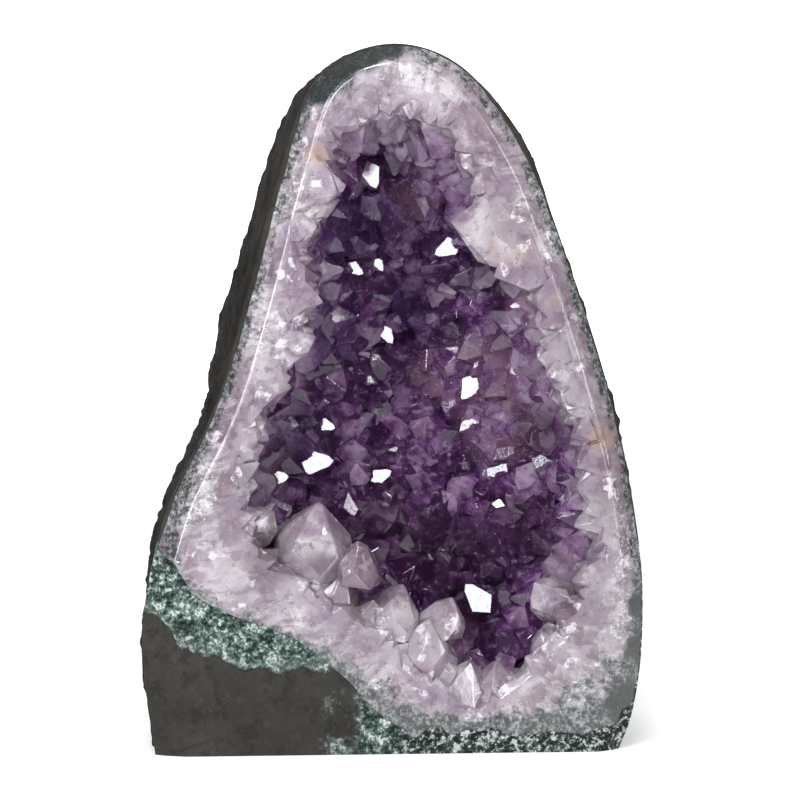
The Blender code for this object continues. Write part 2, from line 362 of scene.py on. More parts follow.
# %% Height of the rough outside
LUMPS = [
    # centre, radius, height
    (Vector((0.056, -0.050, 0.262)), 0.024, 0.0050),
    (Vector((-0.070, 0.020, 0.180)), 0.050, 0.0060),
    (Vector((0.060, 0.050, 0.120)), 0.045, -0.0060),
]


BUMPS = [
    # height, length
    (0.0020, 0.013),
    (0.0015, 0.0062),
    (0.0008, 0.0031),
]
ROUGH_SWELL = 0.0035
ROUGH_SWELL_LENGTH = 0.045
PIMPLE_HEIGHT = 0.0013
PIMPLE_SPACING = 0.0095
PIMPLE_SHARE = 0.36


def pimples(point):
    """Small round pimples, one to each cell of a cellular noise."""
    near = noise.voronoi(point / PIMPLE_SPACING)[0][0]
    return max(0.0, 1.0 - near / PIMPLE_SHARE) ** 2


def rough_height(point, front_share):
    """The height of the rough outside over its smooth form. It fades in behind the front edge."""
    height = swell(point, ROUGH_SWELL, ROUGH_SWELL_LENGTH)
    for size, length in BUMPS:
        height += size * noise.noise(point / length)
    height += PIMPLE_HEIGHT * pimples(point)
    height *= front_share
    for centre, radius, size in LUMPS:
        height += size * math.exp(-((point - centre).length / radius) ** 2)
    return height


def left_shoulder(edge, t):
    """How far the stone swells to the left behind its upper half, where its rough side comes into view."""
    near = math.exp(-((edge.y - LEFT_SHOULDER_HEIGHT) / LEFT_SHOULDER_REACH) ** 4) * held(-edge.x / 0.035)
    return LEFT_SHOULDER * near * math.sin(math.pi * min(t / WIDEST, 1.0)) ** 0.6


def outside_point(edge, t):
    """A point of the rough outside, at the share t of the depth behind the front edge."""
    scale = superellipse(t, BACK_ROUNDNESS)
    low_left = held((0.10 - edge.y) / 0.05) if edge.x < 0 else 0.0
    bulge = 1.0 + SIDE_BULGE * (1.0 - 0.75 * low_left) * math.sin(math.pi * min(t / WIDEST, 1.0))
    y = FACE_Y + CHAMFER_DROP + (DEPTH - CHAMFER_DROP) * t
    point = Vector((edge.x * scale * bulge - left_shoulder(edge, t), y, edge.y * scale ** 0.8))
    way = Vector((point.x, point.y * 0.6, max(point.z - 0.11, -0.05))).normalized()
    moved = point + way * rough_height(point, min(t / 0.12, 1.0))
    moved.z = 0.0 if point.z < 1e-6 else max(moved.z, 0.0)
    return moved


# %% The basalt's socket and front
HIDDEN_ROWS = 8
FRONT_ROWS = 16


def hidden_rows(grow):
    """Rows of the surface between basalt and quartz, from its back to the front."""
    made = []
    for k in range(HIDDEN_ROWS, 0, -1):
        t = 0.05 + 0.94 * math.sin(k / HIDDEN_ROWS * math.pi / 2)
        made.append([bowl_point(p, t, QUARTZ_BOWL, grow) for p in quartz_edge])
    return made


rows = hidden_rows(PIECE_GAP)
fronts = []
for quartz, stone in zip(face_edge, stone_edge):
    inner = quartz + (quartz - BOWL_CENTRE).normalized() * PIECE_GAP
    shares = rim_shares(stone, inner, FRONT_ROWS)
    fronts.append([stone.lerp(inner, share) for share in shares])
for k in range(FRONT_ROWS, -1, -1):
    rows.append([Vector((line[k].x, face_height(line[k]), line[k].y)) for line in fronts])
print("rows of the socket and the front:", len(rows))

# %% The basalt's outside and back
OUTSIDE_ROWS = 84
CAP_ROWS = 8
LAST_RING = math.sin(8 / 9 * math.pi / 2)
POLE_HEIGHT = 0.075

for k in range(1, OUTSIDE_ROWS + 1):
    t = LAST_RING * math.sin(k / OUTSIDE_ROWS * math.pi / 2)
    rows.append([outside_point(p, t) for p in stone_edge])
rim = rows[-1]
pole = Vector((0.0, FACE_Y + DEPTH, POLE_HEIGHT))
for k in range(1, CAP_ROWS):
    share = 1.0 - k / CAP_ROWS
    cap = [pole.lerp(p, share) for p in rim]
    for p in cap:
        p.y = pole.y - (pole.y - LAST_RING * DEPTH - FACE_Y) * share ** 2 + 0.6 * swell(p, 0.002, 0.03)
        p.y = min(p.y, pole.y)
    rows.append([Vector((p.x, p.y, 0.0 if q.z == 0.0 else p.z)) for p, q in zip(cap, rim)])
basalt = ring_skin("basalt_rind", rows)
report(basalt)

# %% [markdown]
# ## The quartz band
# The band starts at its hidden back, comes out at the basalt's edge, crosses the chamfer and the polished
# face, and goes down the wall of the hollow. At the front its inner edge swells into a lip of knobs,
# where the roots of the rim's crystals grew together. Two blobs, one cut from the other, would be
# quicker, but would have no such lip. The crystals are set on the wall itself, so the wall is also kept
# without the lip.

# %% The lip at the hollow's edge
LIP_SHORT_OF_EDGE = 0.0035
LIP_MOST = 0.016
LIP_DEPTH = 0.020
KNOB_REACH = 0.0070
KNOB_SPACING = 0.013
LIP_RECESS = 0.0045


def lip(edge, visible, point):
    """How far the lip stands inward of a point of the wall, toward the visible edge of the hollow."""
    share = max(0.0, 1.0 - (point.y - FACE_Y) / LIP_DEPTH)
    knob = 1.0 - noise.voronoi(point / KNOB_SPACING)[0][0] * 1.3
    low = held((0.115 - point.z) / 0.025)
    most = min((visible - edge).length - LIP_SHORT_OF_EDGE, LIP_MOST)
    reach = (most * (1.0 - 0.75 * low) + KNOB_REACH * (knob - 0.45)) * math.sqrt(share)
    way = (on_spine(edge) - edge).normalized()
    return Vector((way.x, 0.0, way.y)) * reach


def recess(edge, point):
    """How far the lip sinks behind the polished face as it nears the hollow. Its knobs sink less."""
    inward = (on_spine(edge) - edge).normalized().dot(point - edge)
    share = held((inward + 0.002) / 0.008)
    knob = 1.0 - noise.voronoi(Vector((point.x, 0.0, point.y)) / 0.010)[0][0] * 1.2
    return max(0.0, LIP_RECESS - 0.0030 * knob) * share


def set_back(point, depth):
    """A point of the wall's first stretch, moved so that the stretch starts at the depth of the lip."""
    share = min((point.y - FACE_Y) / LIP_DEPTH, 1.0)
    return point + Vector((0.0, depth * (1.0 - share), 0.0))


# %% The quartz across the polished face
FACE_ROWS = 26

back_rows = hidden_rows(0.0)
rim_points = [Vector((p.x, FACE_Y, p.y)) for p in hollow_line]
lip_points = [p + lip(edge, seen, p) for edge, seen, p in zip(hollow_line, visible_edge, rim_points)]
lines = []
for outer, inner in zip(face_edge, lip_points):
    target = Vector((inner.x, inner.z))
    lines.append([outer.lerp(target, share) for share in rim_shares(outer, target, FACE_ROWS)])
face_rows = []
for k in range(FACE_ROWS + 1):
    face_rows.append([Vector((line[k].x, face_height(line[k]) + recess(edge, line[k]), line[k].y))
                      for edge, line in zip(hollow_line, lines)])
print("rows of the hidden back and the face:", len(back_rows) + len(face_rows))

# %% The wall of the hollow
WALL_ROWS = 44


def wall_share(k):
    return math.sin((k / WALL_ROWS) ** 1.35 * math.pi / 2)


def row_surface(rows):
    """The surface through rows of points, for rays to meet."""
    around = len(rows[0])
    points = [p for row in rows for p in row]
    faces = []
    for start in range(0, (len(rows) - 1) * around, around):
        for i in range(around):
            a, b = start + i, start + (i + 1) % around
            faces.append((a, b, b + around, a + around))
    return BVHTree.FromPolygons(points, faces)


lip_depths = [point.y - FACE_Y for point in face_rows[-1]]
bare_rows = [rim_points]
lip_rows = []
for k in range(1, WALL_ROWS):
    bare_rows.append([bowl_point(p, wall_share(k), HOLLOW_BOWL) for p in hollow_line])
    row = zip(hollow_line, visible_edge, bare_rows[-1], lip_depths)
    lip_rows.append([set_back(p + lip(edge, seen, p), depth) for edge, seen, p, depth in row])
quartz = ring_skin("quartz_rim", back_rows + face_rows + lip_rows)
report(quartz)
wall = row_surface(bare_rows)

# %% [markdown]
# ## One crystal
# A quartz crystal is a six-sided prism closed by six sloping faces, three long and three short. A
# six-sided cone tool gives the prism, and six bisect cuts, each filled, give the point with truly flat
# faces. More cuts at random chip it. The bevel is the wear on the edges, which is what shines on a real
# crystal: narrow on the deep points, and wide and round on the pale ones near the rim. Several different
# ones are modelled, and each is copied many times.

# %% Crystal pattern
# sizes in half widths of the crystal
CRYSTAL_HEIGHT = 1.6
ROOT_WIDTH = 1.3
SHOULDER_WIDTH = 1.2
CRYSTAL_SUNK = 0.35
PYRAMID_ANGLE = math.radians(38.2)
SHORT_FACE_SHIFT = 0.22


def crystal_pattern(name, draw, irregular, bevel, segments, chips):
    """A crystal of half width 1 that stands on the origin, its point up."""
    bpy.ops.object.select_all(action="DESELECT")
    bpy.ops.mesh.primitive_cone_add(vertices=6, radius1=ROOT_WIDTH, radius2=SHOULDER_WIDTH,
                                    depth=CRYSTAL_HEIGHT + CRYSTAL_SUNK,
                                    location=(0, 0, (CRYSTAL_HEIGHT - CRYSTAL_SUNK) / 2))
    bpy.ops.object.transform_apply(location=True, rotation=True, scale=True)
    made = bpy.context.object
    made.name = name
    bpy.ops.object.mode_set(mode="EDIT")
    for k in range(6 + chips):
        angle = math.radians(30 + 60 * k) + draw.uniform(-0.12, 0.12) * irregular
        tilt = PYRAMID_ANGLE + draw.uniform(-0.09, 0.09) * irregular
        shift = (SHORT_FACE_SHIFT if k % 2 else 0.0) + draw.uniform(-0.16, 0.16) * irregular
        if k >= 6:
            angle = draw.uniform(0.0, math.tau)
            tilt = draw.uniform(0.4, 1.3)
            shift = draw.uniform(-0.30, -0.12)
        slope = Vector((math.cos(angle) * math.cos(tilt), math.sin(angle) * math.cos(tilt), math.sin(tilt)))
        bpy.ops.mesh.select_all(action="SELECT")
        bpy.ops.mesh.bisect(plane_co=(0, 0, CRYSTAL_HEIGHT + shift), plane_no=slope, use_fill=True,
                            clear_outer=True)
    bpy.ops.mesh.select_all(action="SELECT")
    bpy.ops.mesh.remove_doubles(threshold=0.02)
    if bevel > 0:
        bpy.ops.mesh.select_all(action="SELECT")
        bpy.ops.mesh.bevel(offset=bevel, segments=segments, affect="EDGES", clamp_overlap=True)
    bpy.ops.mesh.select_all(action="SELECT")
    bpy.ops.mesh.normals_make_consistent(inside=False)
    bpy.ops.object.mode_set(mode="OBJECT")
    return made


# %% Kinds of crystals
PATTERN_SEED = 5
SHARP_BEVEL = 0.030
WORN_BEVEL = 0.13
REGULAR_BEVEL = 0.022

KINDS = [
    # kind, how many patterns, irregular, bevel, segments, chips in turn
    ("sharp", 9, 1.0, SHARP_BEVEL, 1, (0, 1, 2)),
    ("small", 6, 1.4, 0.0, 1, (0, 1)),
    ("worn", 7, 1.2, WORN_BEVEL, 3, (0, 1, 2)),
    ("regular", 1, 0.0, REGULAR_BEVEL, 1, (0,)),
]

pattern_draw = random.Random(PATTERN_SEED)
patterns = {}
for kind, count, irregular, bevel, segments, chips in KINDS:
    patterns[kind] = []
    for i in range(count):
        chip = chips[i % len(chips)]
        made = crystal_pattern(f"{kind}_crystal", pattern_draw, irregular, bevel, segments, chip)
        patterns[kind].append(made)
    report(patterns[kind][0])

# %% [markdown]
# ## Where the crystals stand
# Seeded rays leave the middle of the hollow and meet its wall at random. A crystal is set at each hit
# that is far enough from the crystals before it, large ones first, so they crowd as grown crystals do.
# Particles could scatter them too, but they don't keep that distance. The first three sizes are those of
# the CAD crust, a little slimmer. Smaller ones fill the gaps, and some of their rays come straight from
# the front, so that no bare wall shows.

# %% Rays onto the wall
HOLLOW_FOOT, HOLLOW_TOP = 0.055, 0.245
HOLLOW_LEFT, HOLLOW_RIGHT = -0.070, 0.092
JUST_BEHIND = 0.002


def wall_hits(draw, count):
    """Random places on the wall of the hollow: (root, wall normal, lean, size share, turn share)."""
    hits = []
    for _ in range(count):
        z = draw.uniform(HOLLOW_FOOT, HOLLOW_TOP)
        start = Vector((-0.012 + 0.10 * (0.25 - z), FACE_Y + draw.uniform(0.010, 0.050), z))
        way = Vector((draw.gauss(0, 1), draw.gauss(0, 1), draw.gauss(0, 1))).normalized()
        lean = Vector((draw.uniform(-1, 1), draw.uniform(-1, 1), draw.uniform(-1, 1)))
        root, normal, _, _ = wall.ray_cast(start, way)
        if root is None or root.y < FACE_Y + 0.0005:
            continue
        hits.append((root, -normal if normal.dot(way) > 0 else normal, lean, draw.random(), draw.random()))
    return hits


def front_hits(draw, count):
    """Random places on the wall as they are seen from the front, so that no bare wall shows."""
    hits = []
    straight_in = Vector((0.0, 1.0, 0.0))
    toward = wall.ray_cast(Vector((0.0, FACE_Y, 0.20)), straight_in)[1].y
    for _ in range(count):
        x = draw.uniform(HOLLOW_LEFT, HOLLOW_RIGHT)
        start = Vector((x, FACE_Y + JUST_BEHIND, draw.uniform(0.018, 0.278)))
        root, normal, _, _ = wall.ray_cast(start, straight_in)
        if root is None or root.y < FACE_Y + 0.020 or normal.y * toward < 0:
            continue
        lean = Vector((draw.uniform(-1, 1), draw.uniform(-1, 1), draw.uniform(-1, 1)))
        hits.append((root, -normal if normal.y > 0 else normal, lean, draw.random(), draw.random()))
    return hits


# %% Places for the crystals
CRYSTAL_SEED = 11
RAY_COUNT = 5200
FRONT_RAY_COUNT = 2600
FILL_RAY_COUNT = 3800
CRYSTAL_LEAN = 0.34
FILL_LEAN = 0.65
FILL_LIFT = 0.45
SLIMMER = 0.86
CRYSTAL_PASSES = [
    # half width: smallest, largest; most crystals; spacing in sums of half widths
    (0.0125, 0.0142, 16, 0.84),
    (0.0098, 0.0116, 92, 0.74),
    (0.0074, 0.0090, 36, 0.70),
]
FILL_PASSES = [
    (0.0056, 0.0074, 260, 0.48),
    (0.0034, 0.0052, 520, 0.46),
    (0.0020, 0.0030, 420, 0.50),
]


def grow(sites, hits, passes, lean_by, lift):
    """The sites, and after them a new one at each hit that is free: (root, axis, half width, turn)."""
    for smallest, largest, most, spacing in passes:
        placed = 0
        for root, normal, lean, share, turn in hits:
            size = smallest + (largest - smallest) * share
            free = all((root - other[0]).length > spacing * (size + other[2]) for other in sites)
            if placed < most and free:
                axis = (normal + lean * lean_by).normalized()
                sites.append((root + axis * size * lift, axis, size, turn * math.tau))
                placed += 1
    return sites


site_draw = random.Random(CRYSTAL_SEED)
sites = grow([], wall_hits(site_draw, RAY_COUNT), CRYSTAL_PASSES, CRYSTAL_LEAN, 0.0)
sites = [(root, axis, size * SLIMMER, turn) for root, axis, size, turn in sites]
fill_hits = front_hits(site_draw, FRONT_RAY_COUNT) + wall_hits(site_draw, FILL_RAY_COUNT)
sites = grow(sites, fill_hits, FILL_PASSES, FILL_LEAN, FILL_LIFT)
print("crystals:", len(sites))

# %% [markdown]
# ## Crystals of the rim
# Behind the polished face the columns of the rim end in blunt worn points. The large ones are listed one
# by one, because each is a mark of this stone. Two rows of small ones follow the edge of the hollow at
# seeded places: the first points inward, and the second stands nearly upright under the polished face, so
# that its tips end just at it.

# %% Large crystals of the rim
FEATURES = [
    # x and z of the point in millimetres, depth behind the face, half width, axis
    ((23, 228), -6.0, 17.0, (-0.92, -0.12, 0.10)),
    ((40, 204), -3.0, 11.0, (-0.85, -0.15, -0.30)),
    ((-20, 239), -5.0, 11.5, (0.97, -0.10, -0.08)),
    ((-32, 106), 6.0, 15.0, (0.10, -0.35, 0.90)),
    ((-14, 91), 5.0, 9.5, (0.15, -0.30, 0.95)),
    ((-44, 86), 1.5, 10.5, (0.25, -0.60, 0.70)),
    ((-30, 84), 2.0, 9.0, (0.20, -0.65, 0.70)),
    ((-22, 76), 1.5, 9.0, (0.25, -0.60, 0.75)),
    ((-8, 66), 1.5, 9.0, (0.25, -0.60, 0.75)),
    ((0, 52), 2.0, 9.5, (0.25, -0.60, 0.75)),
    ((18, 44), 2.0, 9.0, (0.05, -0.60, 0.80)),
    ((-58, 92), 4.0, 11.0, (0.45, -0.40, 0.70)),
    ((-50, 104), 7.0, 8.0, (0.60, -0.35, 0.50)),
    ((2, 72), 5.0, 11.0, (0.20, -0.35, 0.90)),
    ((14, 58), 5.0, 12.5, (0.10, -0.35, 0.92)),
    ((24, 66), 9.0, 8.5, (0.25, -0.30, 0.85)),
    ((32, 40), 3.0, 9.5, (0.10, -0.30, 0.95)),
    ((44, 38), 4.0, 10.5, (-0.05, -0.30, 0.95)),
    ((60, 52), 3.0, 10.0, (-0.50, -0.30, 0.75)),
    ((70, 64), 3.5, 10.5, (-0.70, -0.30, 0.60)),
    ((60, 72), 8.0, 8.5, (-0.65, -0.35, 0.55)),
    ((79, 116), 1.0, 9.5, (-0.90, -0.25, 0.15)),
    ((76, 96), 3.0, 7.5, (-0.90, -0.30, -0.05)),
    ((-54, 157), 1.0, 7.5, (0.95, -0.25, 0.05)),
    ((-44, 172), 2.0, 6.5, (0.85, -0.25, 0.35)),
]
SUNK_BY = 4.0


def feature_sites(draw):
    made = []
    for (x_mm, z_mm), depth, size, lean in FEATURES:
        axis = Vector(lean).normalized()
        tip = Vector((x_mm * MM, FACE_Y + (depth + SUNK_BY) * MM, z_mm * MM))
        made.append((tip - axis * size * MM * CRYSTAL_HEIGHT, axis, size * MM, draw.uniform(0, math.tau)))
    return made


# %% Rows of small crystals along the hollow's edge
RIM_SEED = 29
POINTING_IN = 96
STANDING = 110


def edge_place(k, count, jitter, draw):
    """The hollow's edge, the lip's edge and the way inward, near the k-th of count even places."""
    index = int((k + draw.uniform(-jitter, jitter)) / count * AROUND) % AROUND
    edge, inner = hollow_line[index], lip_points[index]
    return edge, Vector((inner.x, inner.z)), (on_spine(edge) - edge).normalized()


def sideways(draw):
    return Vector((draw.uniform(-1, 1), 0.0, draw.uniform(-1, 1)))


def add_pointing_in(made, draw):
    for k in range(POINTING_IN):
        _, inner, way = edge_place(k, POINTING_IN, 0.35, draw)
        size = draw.uniform(0.0040, 0.0080)
        root = inner - way * size * draw.uniform(0.8, 1.35)
        axis = Vector((way.x, draw.uniform(-0.60, 0.10), way.y))
        axis += sideways(draw) * 0.35
        place = Vector((root.x, FACE_Y + size * draw.uniform(0.5, 1.3), root.y))
        if all((place - other[0]).length > 0.45 * other[2] for other in made):
            made.append((place, axis.normalized(), size, draw.uniform(0, math.tau)))


def add_standing(made, draw):
    for k in range(STANDING):
        edge, inner, way = edge_place(k, STANDING, 0.4, draw)
        size = draw.uniform(0.0045, 0.0085)
        axis = Vector((way.x * 0.6, -0.85, way.y * 0.6))
        axis += sideways(draw) * 0.25
        axis.normalize()
        tip = edge.lerp(inner, draw.uniform(0.3, 1.0))
        end = Vector((tip.x, FACE_Y + draw.uniform(-0.0010, 0.0018), tip.y))
        made.append((end - axis * size * CRYSTAL_HEIGHT, axis, size, draw.uniform(0, math.tau)))


rim_draw = random.Random(RIM_SEED)
rim_crystals = feature_sites(rim_draw)
add_pointing_in(rim_crystals, rim_draw)
add_standing(rim_crystals, rim_draw)
print("rim crystals:", len(rim_crystals))

# %% [markdown]
# ## Faces that flash
# A few crystals happen to turn a face so that it mirrors a lamp to the eye. They could be painted white,
# but then they would stay white from every side. So they are listed one by one: each one's axis is tilted
# until its first sloping face looks half way between the eye and the lamp. The eye stands where the camera
# does, to within a centimetre. Other large crystals are turned about their axes for as long as one of
# their faces would do the same.

# %% Crystals with a flashing face
EYE = Vector((-0.0725, -1.112, 0.1868))
FRONT_LAMP = Vector((-0.20, -1.42, 0.54))
FACE_TURN = math.radians(30)
FLASHES = [
    # x and z of the face in millimetres, half width in millimetres
    ((-7, 248), 6.4), ((27, 216), 6.4), ((-13, 207), 4.4), ((-2, 209), 3.4), ((2, 177), 4.8),
    ((-43, 138), 4.2), ((-26, 136), 4.4), ((-31, 120), 8.4), ((-50, 114), 6.5), ((-1, 113), 5.4),
    ((40, 60), 8.4),
]


def flash_way(root):
    """The way that a face at the root looks when it mirrors the front lamp to the eye."""
    return ((EYE - root).normalized() + (FRONT_LAMP - root).normalized()).normalized()


def upright_turn(axis):
    """The rotation that stands a crystal's pattern along the axis."""
    return axis.to_track_quat("Z", "Y").to_matrix()


def flash_site(x, z, size):
    """A crystal on the back wall whose first sloping face mirrors the front lamp to the eye."""
    place = Vector((x, 0.0, z))
    for _ in range(5):
        start = Vector((place.x, FACE_Y + JUST_BEHIND, place.z))
        root, normal, _, _ = wall.ray_cast(start, Vector((0, 1, 0)))
        if normal.y > 0:
            normal = -normal
        shine = flash_way(root)
        across = (normal - shine * normal.dot(shine)).normalized()
        axis = shine * math.sin(PYRAMID_ANGLE) + across * math.cos(PYRAMID_ANGLE)
        shown = axis * size * 1.35 + (shine - axis * shine.dot(axis)).normalized() * size * 0.45
        place = Vector((x - shown.x, 0.0, z - shown.z))
    first_face = (shine - axis * shine.dot(axis)).normalized()
    local = upright_turn(axis).inverted() @ first_face
    turn = math.atan2(local.y, local.x) - FACE_TURN
    return root + axis * size * 0.6, axis, size, turn


flash_sites = [flash_site(x_mm * MM, z_mm * MM, size * MM) for (x_mm, z_mm), size in FLASHES]
print("flashing crystals:", len(flash_sites))

# %% Crystals that must not flash
FLASH_SPREAD = math.radians(14)
FLASH_SPACING = 0.72
TURNED_FROM = 0.004
WALL_BEHIND_FACE = 0.004


def clear_of(site, others, spacing):
    return all((site[0] - other[0]).length > spacing * (site[2] + other[2]) for other in others)


def turned_away(site):
    """The crystal, turned about its axis in up to six steps, until no sloping face mirrors the lamp."""
    root, axis, size, turn = site
    shine = flash_way(root)
    upright = upright_turn(axis)
    for _ in range(6):
        nearest = 0.0
        for k in range(6):
            angle = turn + math.radians(30 + 60 * k)
            local = Vector((math.cos(angle) * math.cos(PYRAMID_ANGLE),
                            math.sin(angle) * math.cos(PYRAMID_ANGLE), math.sin(PYRAMID_ANGLE)))
            nearest = max(nearest, (upright @ local).dot(shine))
        if nearest < math.cos(FLASH_SPREAD):
            break
        turn += math.radians(10)
    return root, axis, size, turn


def held_back(site):
    """The crystal made smaller until its point stays behind the polished face."""
    root, axis, size, turn = site
    while (root + axis * size * CRYSTAL_HEIGHT).y < FACE_Y + JUST_BEHIND + size * 0.3:
        size *= 0.88
    return root, axis, size, turn


sites = [site for site in sites if clear_of(site, flash_sites, FLASH_SPACING)]
sites = [site for site in sites if site[0].y > FACE_Y + WALL_BEHIND_FACE]
sites = [turned_away(held_back(site)) if site[2] > TURNED_FROM else site for site in sites]
print("crystals left beside the flashing ones:", len(sites))

# %% [markdown]
# ## Pale and purple crystals
# Colour came late in the growth, and weathering bleached the rim, so crystals near the cut are pale and
# milky, and deeper ones purple. The pale ones become part of the quartz rim, which makes its scalloped
# inner edge. The purple ones are a piece of their own, of clear quartz.

# %% Sort and copy
PALE_DEPTH = 0.013
FOOT_PALE_DEPTH = 0.026


def is_pale(site):
    root, axis = site[0], site[1]
    upward = held(axis.z)
    return root.y - FACE_Y < PALE_DEPTH + (FOOT_PALE_DEPTH - PALE_DEPTH) * upward


def placed_crystal(pattern, site, group):
    root, axis, size, turn = site
    mesh = pattern.data.copy()
    place = Matrix.Translation(root) @ upright_turn(axis).to_4x4()
    mesh.transform(place @ Matrix.Rotation(turn, 4, "Z") @ Matrix.Scale(size, 4))
    copy = bpy.data.objects.new(pattern.name, mesh)
    group.objects.link(copy)


def crystal_group(name, chosen, kinds):
    """Copies of the patterns, each from the kind that its site asks for."""
    group = bpy.data.collections.new(name)
    bpy.context.scene.collection.children.link(group)
    for index, (site, kind) in enumerate(zip(chosen, kinds)):
        pattern = patterns[kind][index % len(patterns[kind])]
        placed_crystal(pattern, site, group)
    return group


# %% [markdown]
# ## One skin from many crystals
# Crystals that grow into each other are one body of quartz. Loose copies would leave hidden faces inside,
# which spoil clear quartz, so a Boolean union joins them. The pale ones are then kept inside a block that
# fills the rim up to the polished face, as the grinding wheel left them, and the purple ones are cut off
# just behind that face.

# %% Block and cutter
FRONT_CLEARANCE = 0.00002
BLOCK_SCALE = 0.998
BLOCK_MIDDLE = 0.150


def front_cutter():
    bpy.ops.object.select_all(action="DESELECT")
    bpy.ops.mesh.primitive_cube_add(size=1.0, location=(0, FACE_Y + FRONT_CLEARANCE - 0.25, 0.15),
                                    scale=(1.0, 0.5, 1.0))
    bpy.ops.object.transform_apply(location=True, rotation=True, scale=True)
    return bpy.context.object


def quartz_block():
    """The band, its hollow filled to the polished face, a hair smaller, to keep the pale crystals in."""
    ground_rows = []
    for k in range(FACE_ROWS + 1):
        ground_rows.append([Vector((line[k].x, face_height(line[k]), line[k].y)) for line in lines])
    block = ring_skin("quartz_block", back_rows + ground_rows)
    for point in block.data.vertices:
        point.co.x *= BLOCK_SCALE
        point.co.y = FACE_Y + (point.co.y - FACE_Y) * BLOCK_SCALE + FRONT_CLEARANCE
        point.co.z = BLOCK_MIDDLE + (point.co.z - BLOCK_MIDDLE) * BLOCK_SCALE
    return block


# %% Join crystals
def apply_boolean(piece, operation, other=None, group=None):
    only(piece)
    cut = piece.modifiers.new("cut", "BOOLEAN")
    cut.operation = operation
    cut.solver = "MANIFOLD"
    if group:
        cut.operand_type = "COLLECTION"
        cut.collection = group
    else:
        cut.object = other
    bpy.ops.object.modifier_apply(modifier=cut.name)


def remove_group(group):
    for helper in list(group.objects):
        bpy.data.objects.remove(helper)
    bpy.data.collections.remove(group)


def joined_crystals(name, chosen, kinds, kept_in=None, cut_by=None):
    """One skin of the chosen crystals, kept inside one helper or cut by another."""
    group = crystal_group(name, chosen, kinds)
    first = group.objects[0]
    group.objects.unlink(first)
    bpy.context.scene.collection.objects.link(first)
    first.name = name
    apply_boolean(first, "UNION", group=group)
    remove_group(group)
    helper = kept_in or cut_by
    apply_boolean(first, "INTERSECT" if kept_in else "DIFFERENCE", other=helper)
    bpy.data.objects.remove(helper)
    return first


# %% The pale and the purple skin
WORN_SET_BACK = Vector((0.0, 0.0015, 0.0))
WORN_SCALE = 0.82
LARGE_IN_RIM = 0.008
LARGE_IN_HOLLOW = 0.0052


def worn_down(site):
    """A crystal of the crust that stands near the rim: smaller, and set back from the face."""
    root, axis, size, turn = site
    return root + WORN_SET_BACK, axis, size * WORN_SCALE, turn


pale_sites = [turned_away(site) if site[2] > LARGE_IN_RIM else site for site in rim_crystals]
pale_sites += [worn_down(site) for site in sites if is_pale(site)]
purple_sites = flash_sites + [site for site in sites if not is_pale(site)]
pale_kinds = ["worn"] * len(pale_sites)
purple_kinds = ["sharp" if site[2] > LARGE_IN_HOLLOW else "small" for site in purple_sites]
purple_kinds[:len(flash_sites)] = ["regular"] * len(flash_sites)
pale = joined_crystals("pale_crystals", pale_sites, pale_kinds, kept_in=quartz_block())
apply_boolean(quartz, "UNION", other=pale)
bpy.data.objects.remove(pale)
amethyst = joined_crystals("amethyst_points", purple_sites, purple_kinds, cut_by=front_cutter())
for pattern in [pattern for kind in patterns.values() for pattern in kind]:
    bpy.data.objects.remove(pattern)
report(quartz)
report(amethyst)

# %% [markdown]
# ## Growth marks
# The colour of a crystal changes from its root to its point, and from one crystal to the next. Joining
# them lost which face belongs to which crystal, so each face looks up the nearest crystal again, and the
# answer is kept in a colour attribute: red is the share of the way from root to point, green is the
# crystal's own chance tone, and blue is 1 on crystals and 0 on the band.

# %% Write the growth attribute
TONE_SEED = 3


def mark_growth(piece, chosen, reach):
    """The marks of each face, from the crystal that is nearest within reach, in half widths."""
    draw = random.Random(TONE_SEED)
    tones = [draw.random() for _ in chosen]
    tree = KDTree(len(chosen) * 3)
    for index, (root, axis, size, _) in enumerate(chosen):
        for step in (0.3, 0.9, 1.4):
            tree.insert(root + axis * size * step, index)
    tree.balance()
    marks = piece.data.attributes.new("growth", "FLOAT_COLOR", "CORNER")
    values = numpy.zeros((len(piece.data.loops), 4), numpy.float32)
    values[:, 3] = 1.0
    for face in piece.data.polygons:
        best, best_gap = None, 1e9
        for _, index, gap in tree.find_n(face.center, 6):
            size = chosen[index][2]
            if gap / size < best_gap:
                best, best_gap = index, gap / size
        if best_gap > reach:
            values[list(face.loop_indices), 1] = 0.5
            continue
        root, axis, size, _ = chosen[best]
        for loop in face.loop_indices:
            corner = piece.data.vertices[piece.data.loops[loop].vertex_index].co
            values[loop, 0] = (corner - root).dot(axis) / (size * CRYSTAL_HEIGHT)
            values[loop, 1] = tones[best]
            values[loop, 2] = 1.0
    marks.data.foreach_set("color", values.ravel())


mark_growth(amethyst, purple_sites, reach=9.0)
mark_growth(quartz, pale_sites, reach=1.25)

# %% [markdown]
# ## A map for the columns of the rim
# The columns stand across the rim, so their pattern needs a map that follows it. A plain projection from
# the front would lay them all one way. Across the map runs the length round the rim, and up the map runs
# the distance from the spine. Two attributes go with it: the place across the rim, 0 at the basalt and 1
# at the hollow's edge, and how far in metres a point lies inward of that edge.

# %% Round the spine and out of it
SEAM_ANGLE = math.radians(215)
CAP_RADIUS = 0.060


def around_and_out(point):
    """The length round the spine and the distance from it, for a point of the face."""
    way = spine.normalized()
    right = Vector((-way.y, way.x))
    share = held((point - SPINE_TOP).dot(spine) / spine.length_squared)
    offset = point - (SPINE_TOP + spine * share)
    angle = math.atan2(offset.dot(-way), offset.dot(right)) % math.tau
    length = spine.length
    if angle > SEAM_ANGLE:
        angle -= math.tau
    side = 1.0 - share if angle < math.pi / 2 else 1.0 + share
    return length * side + CAP_RADIUS * angle, offset.length


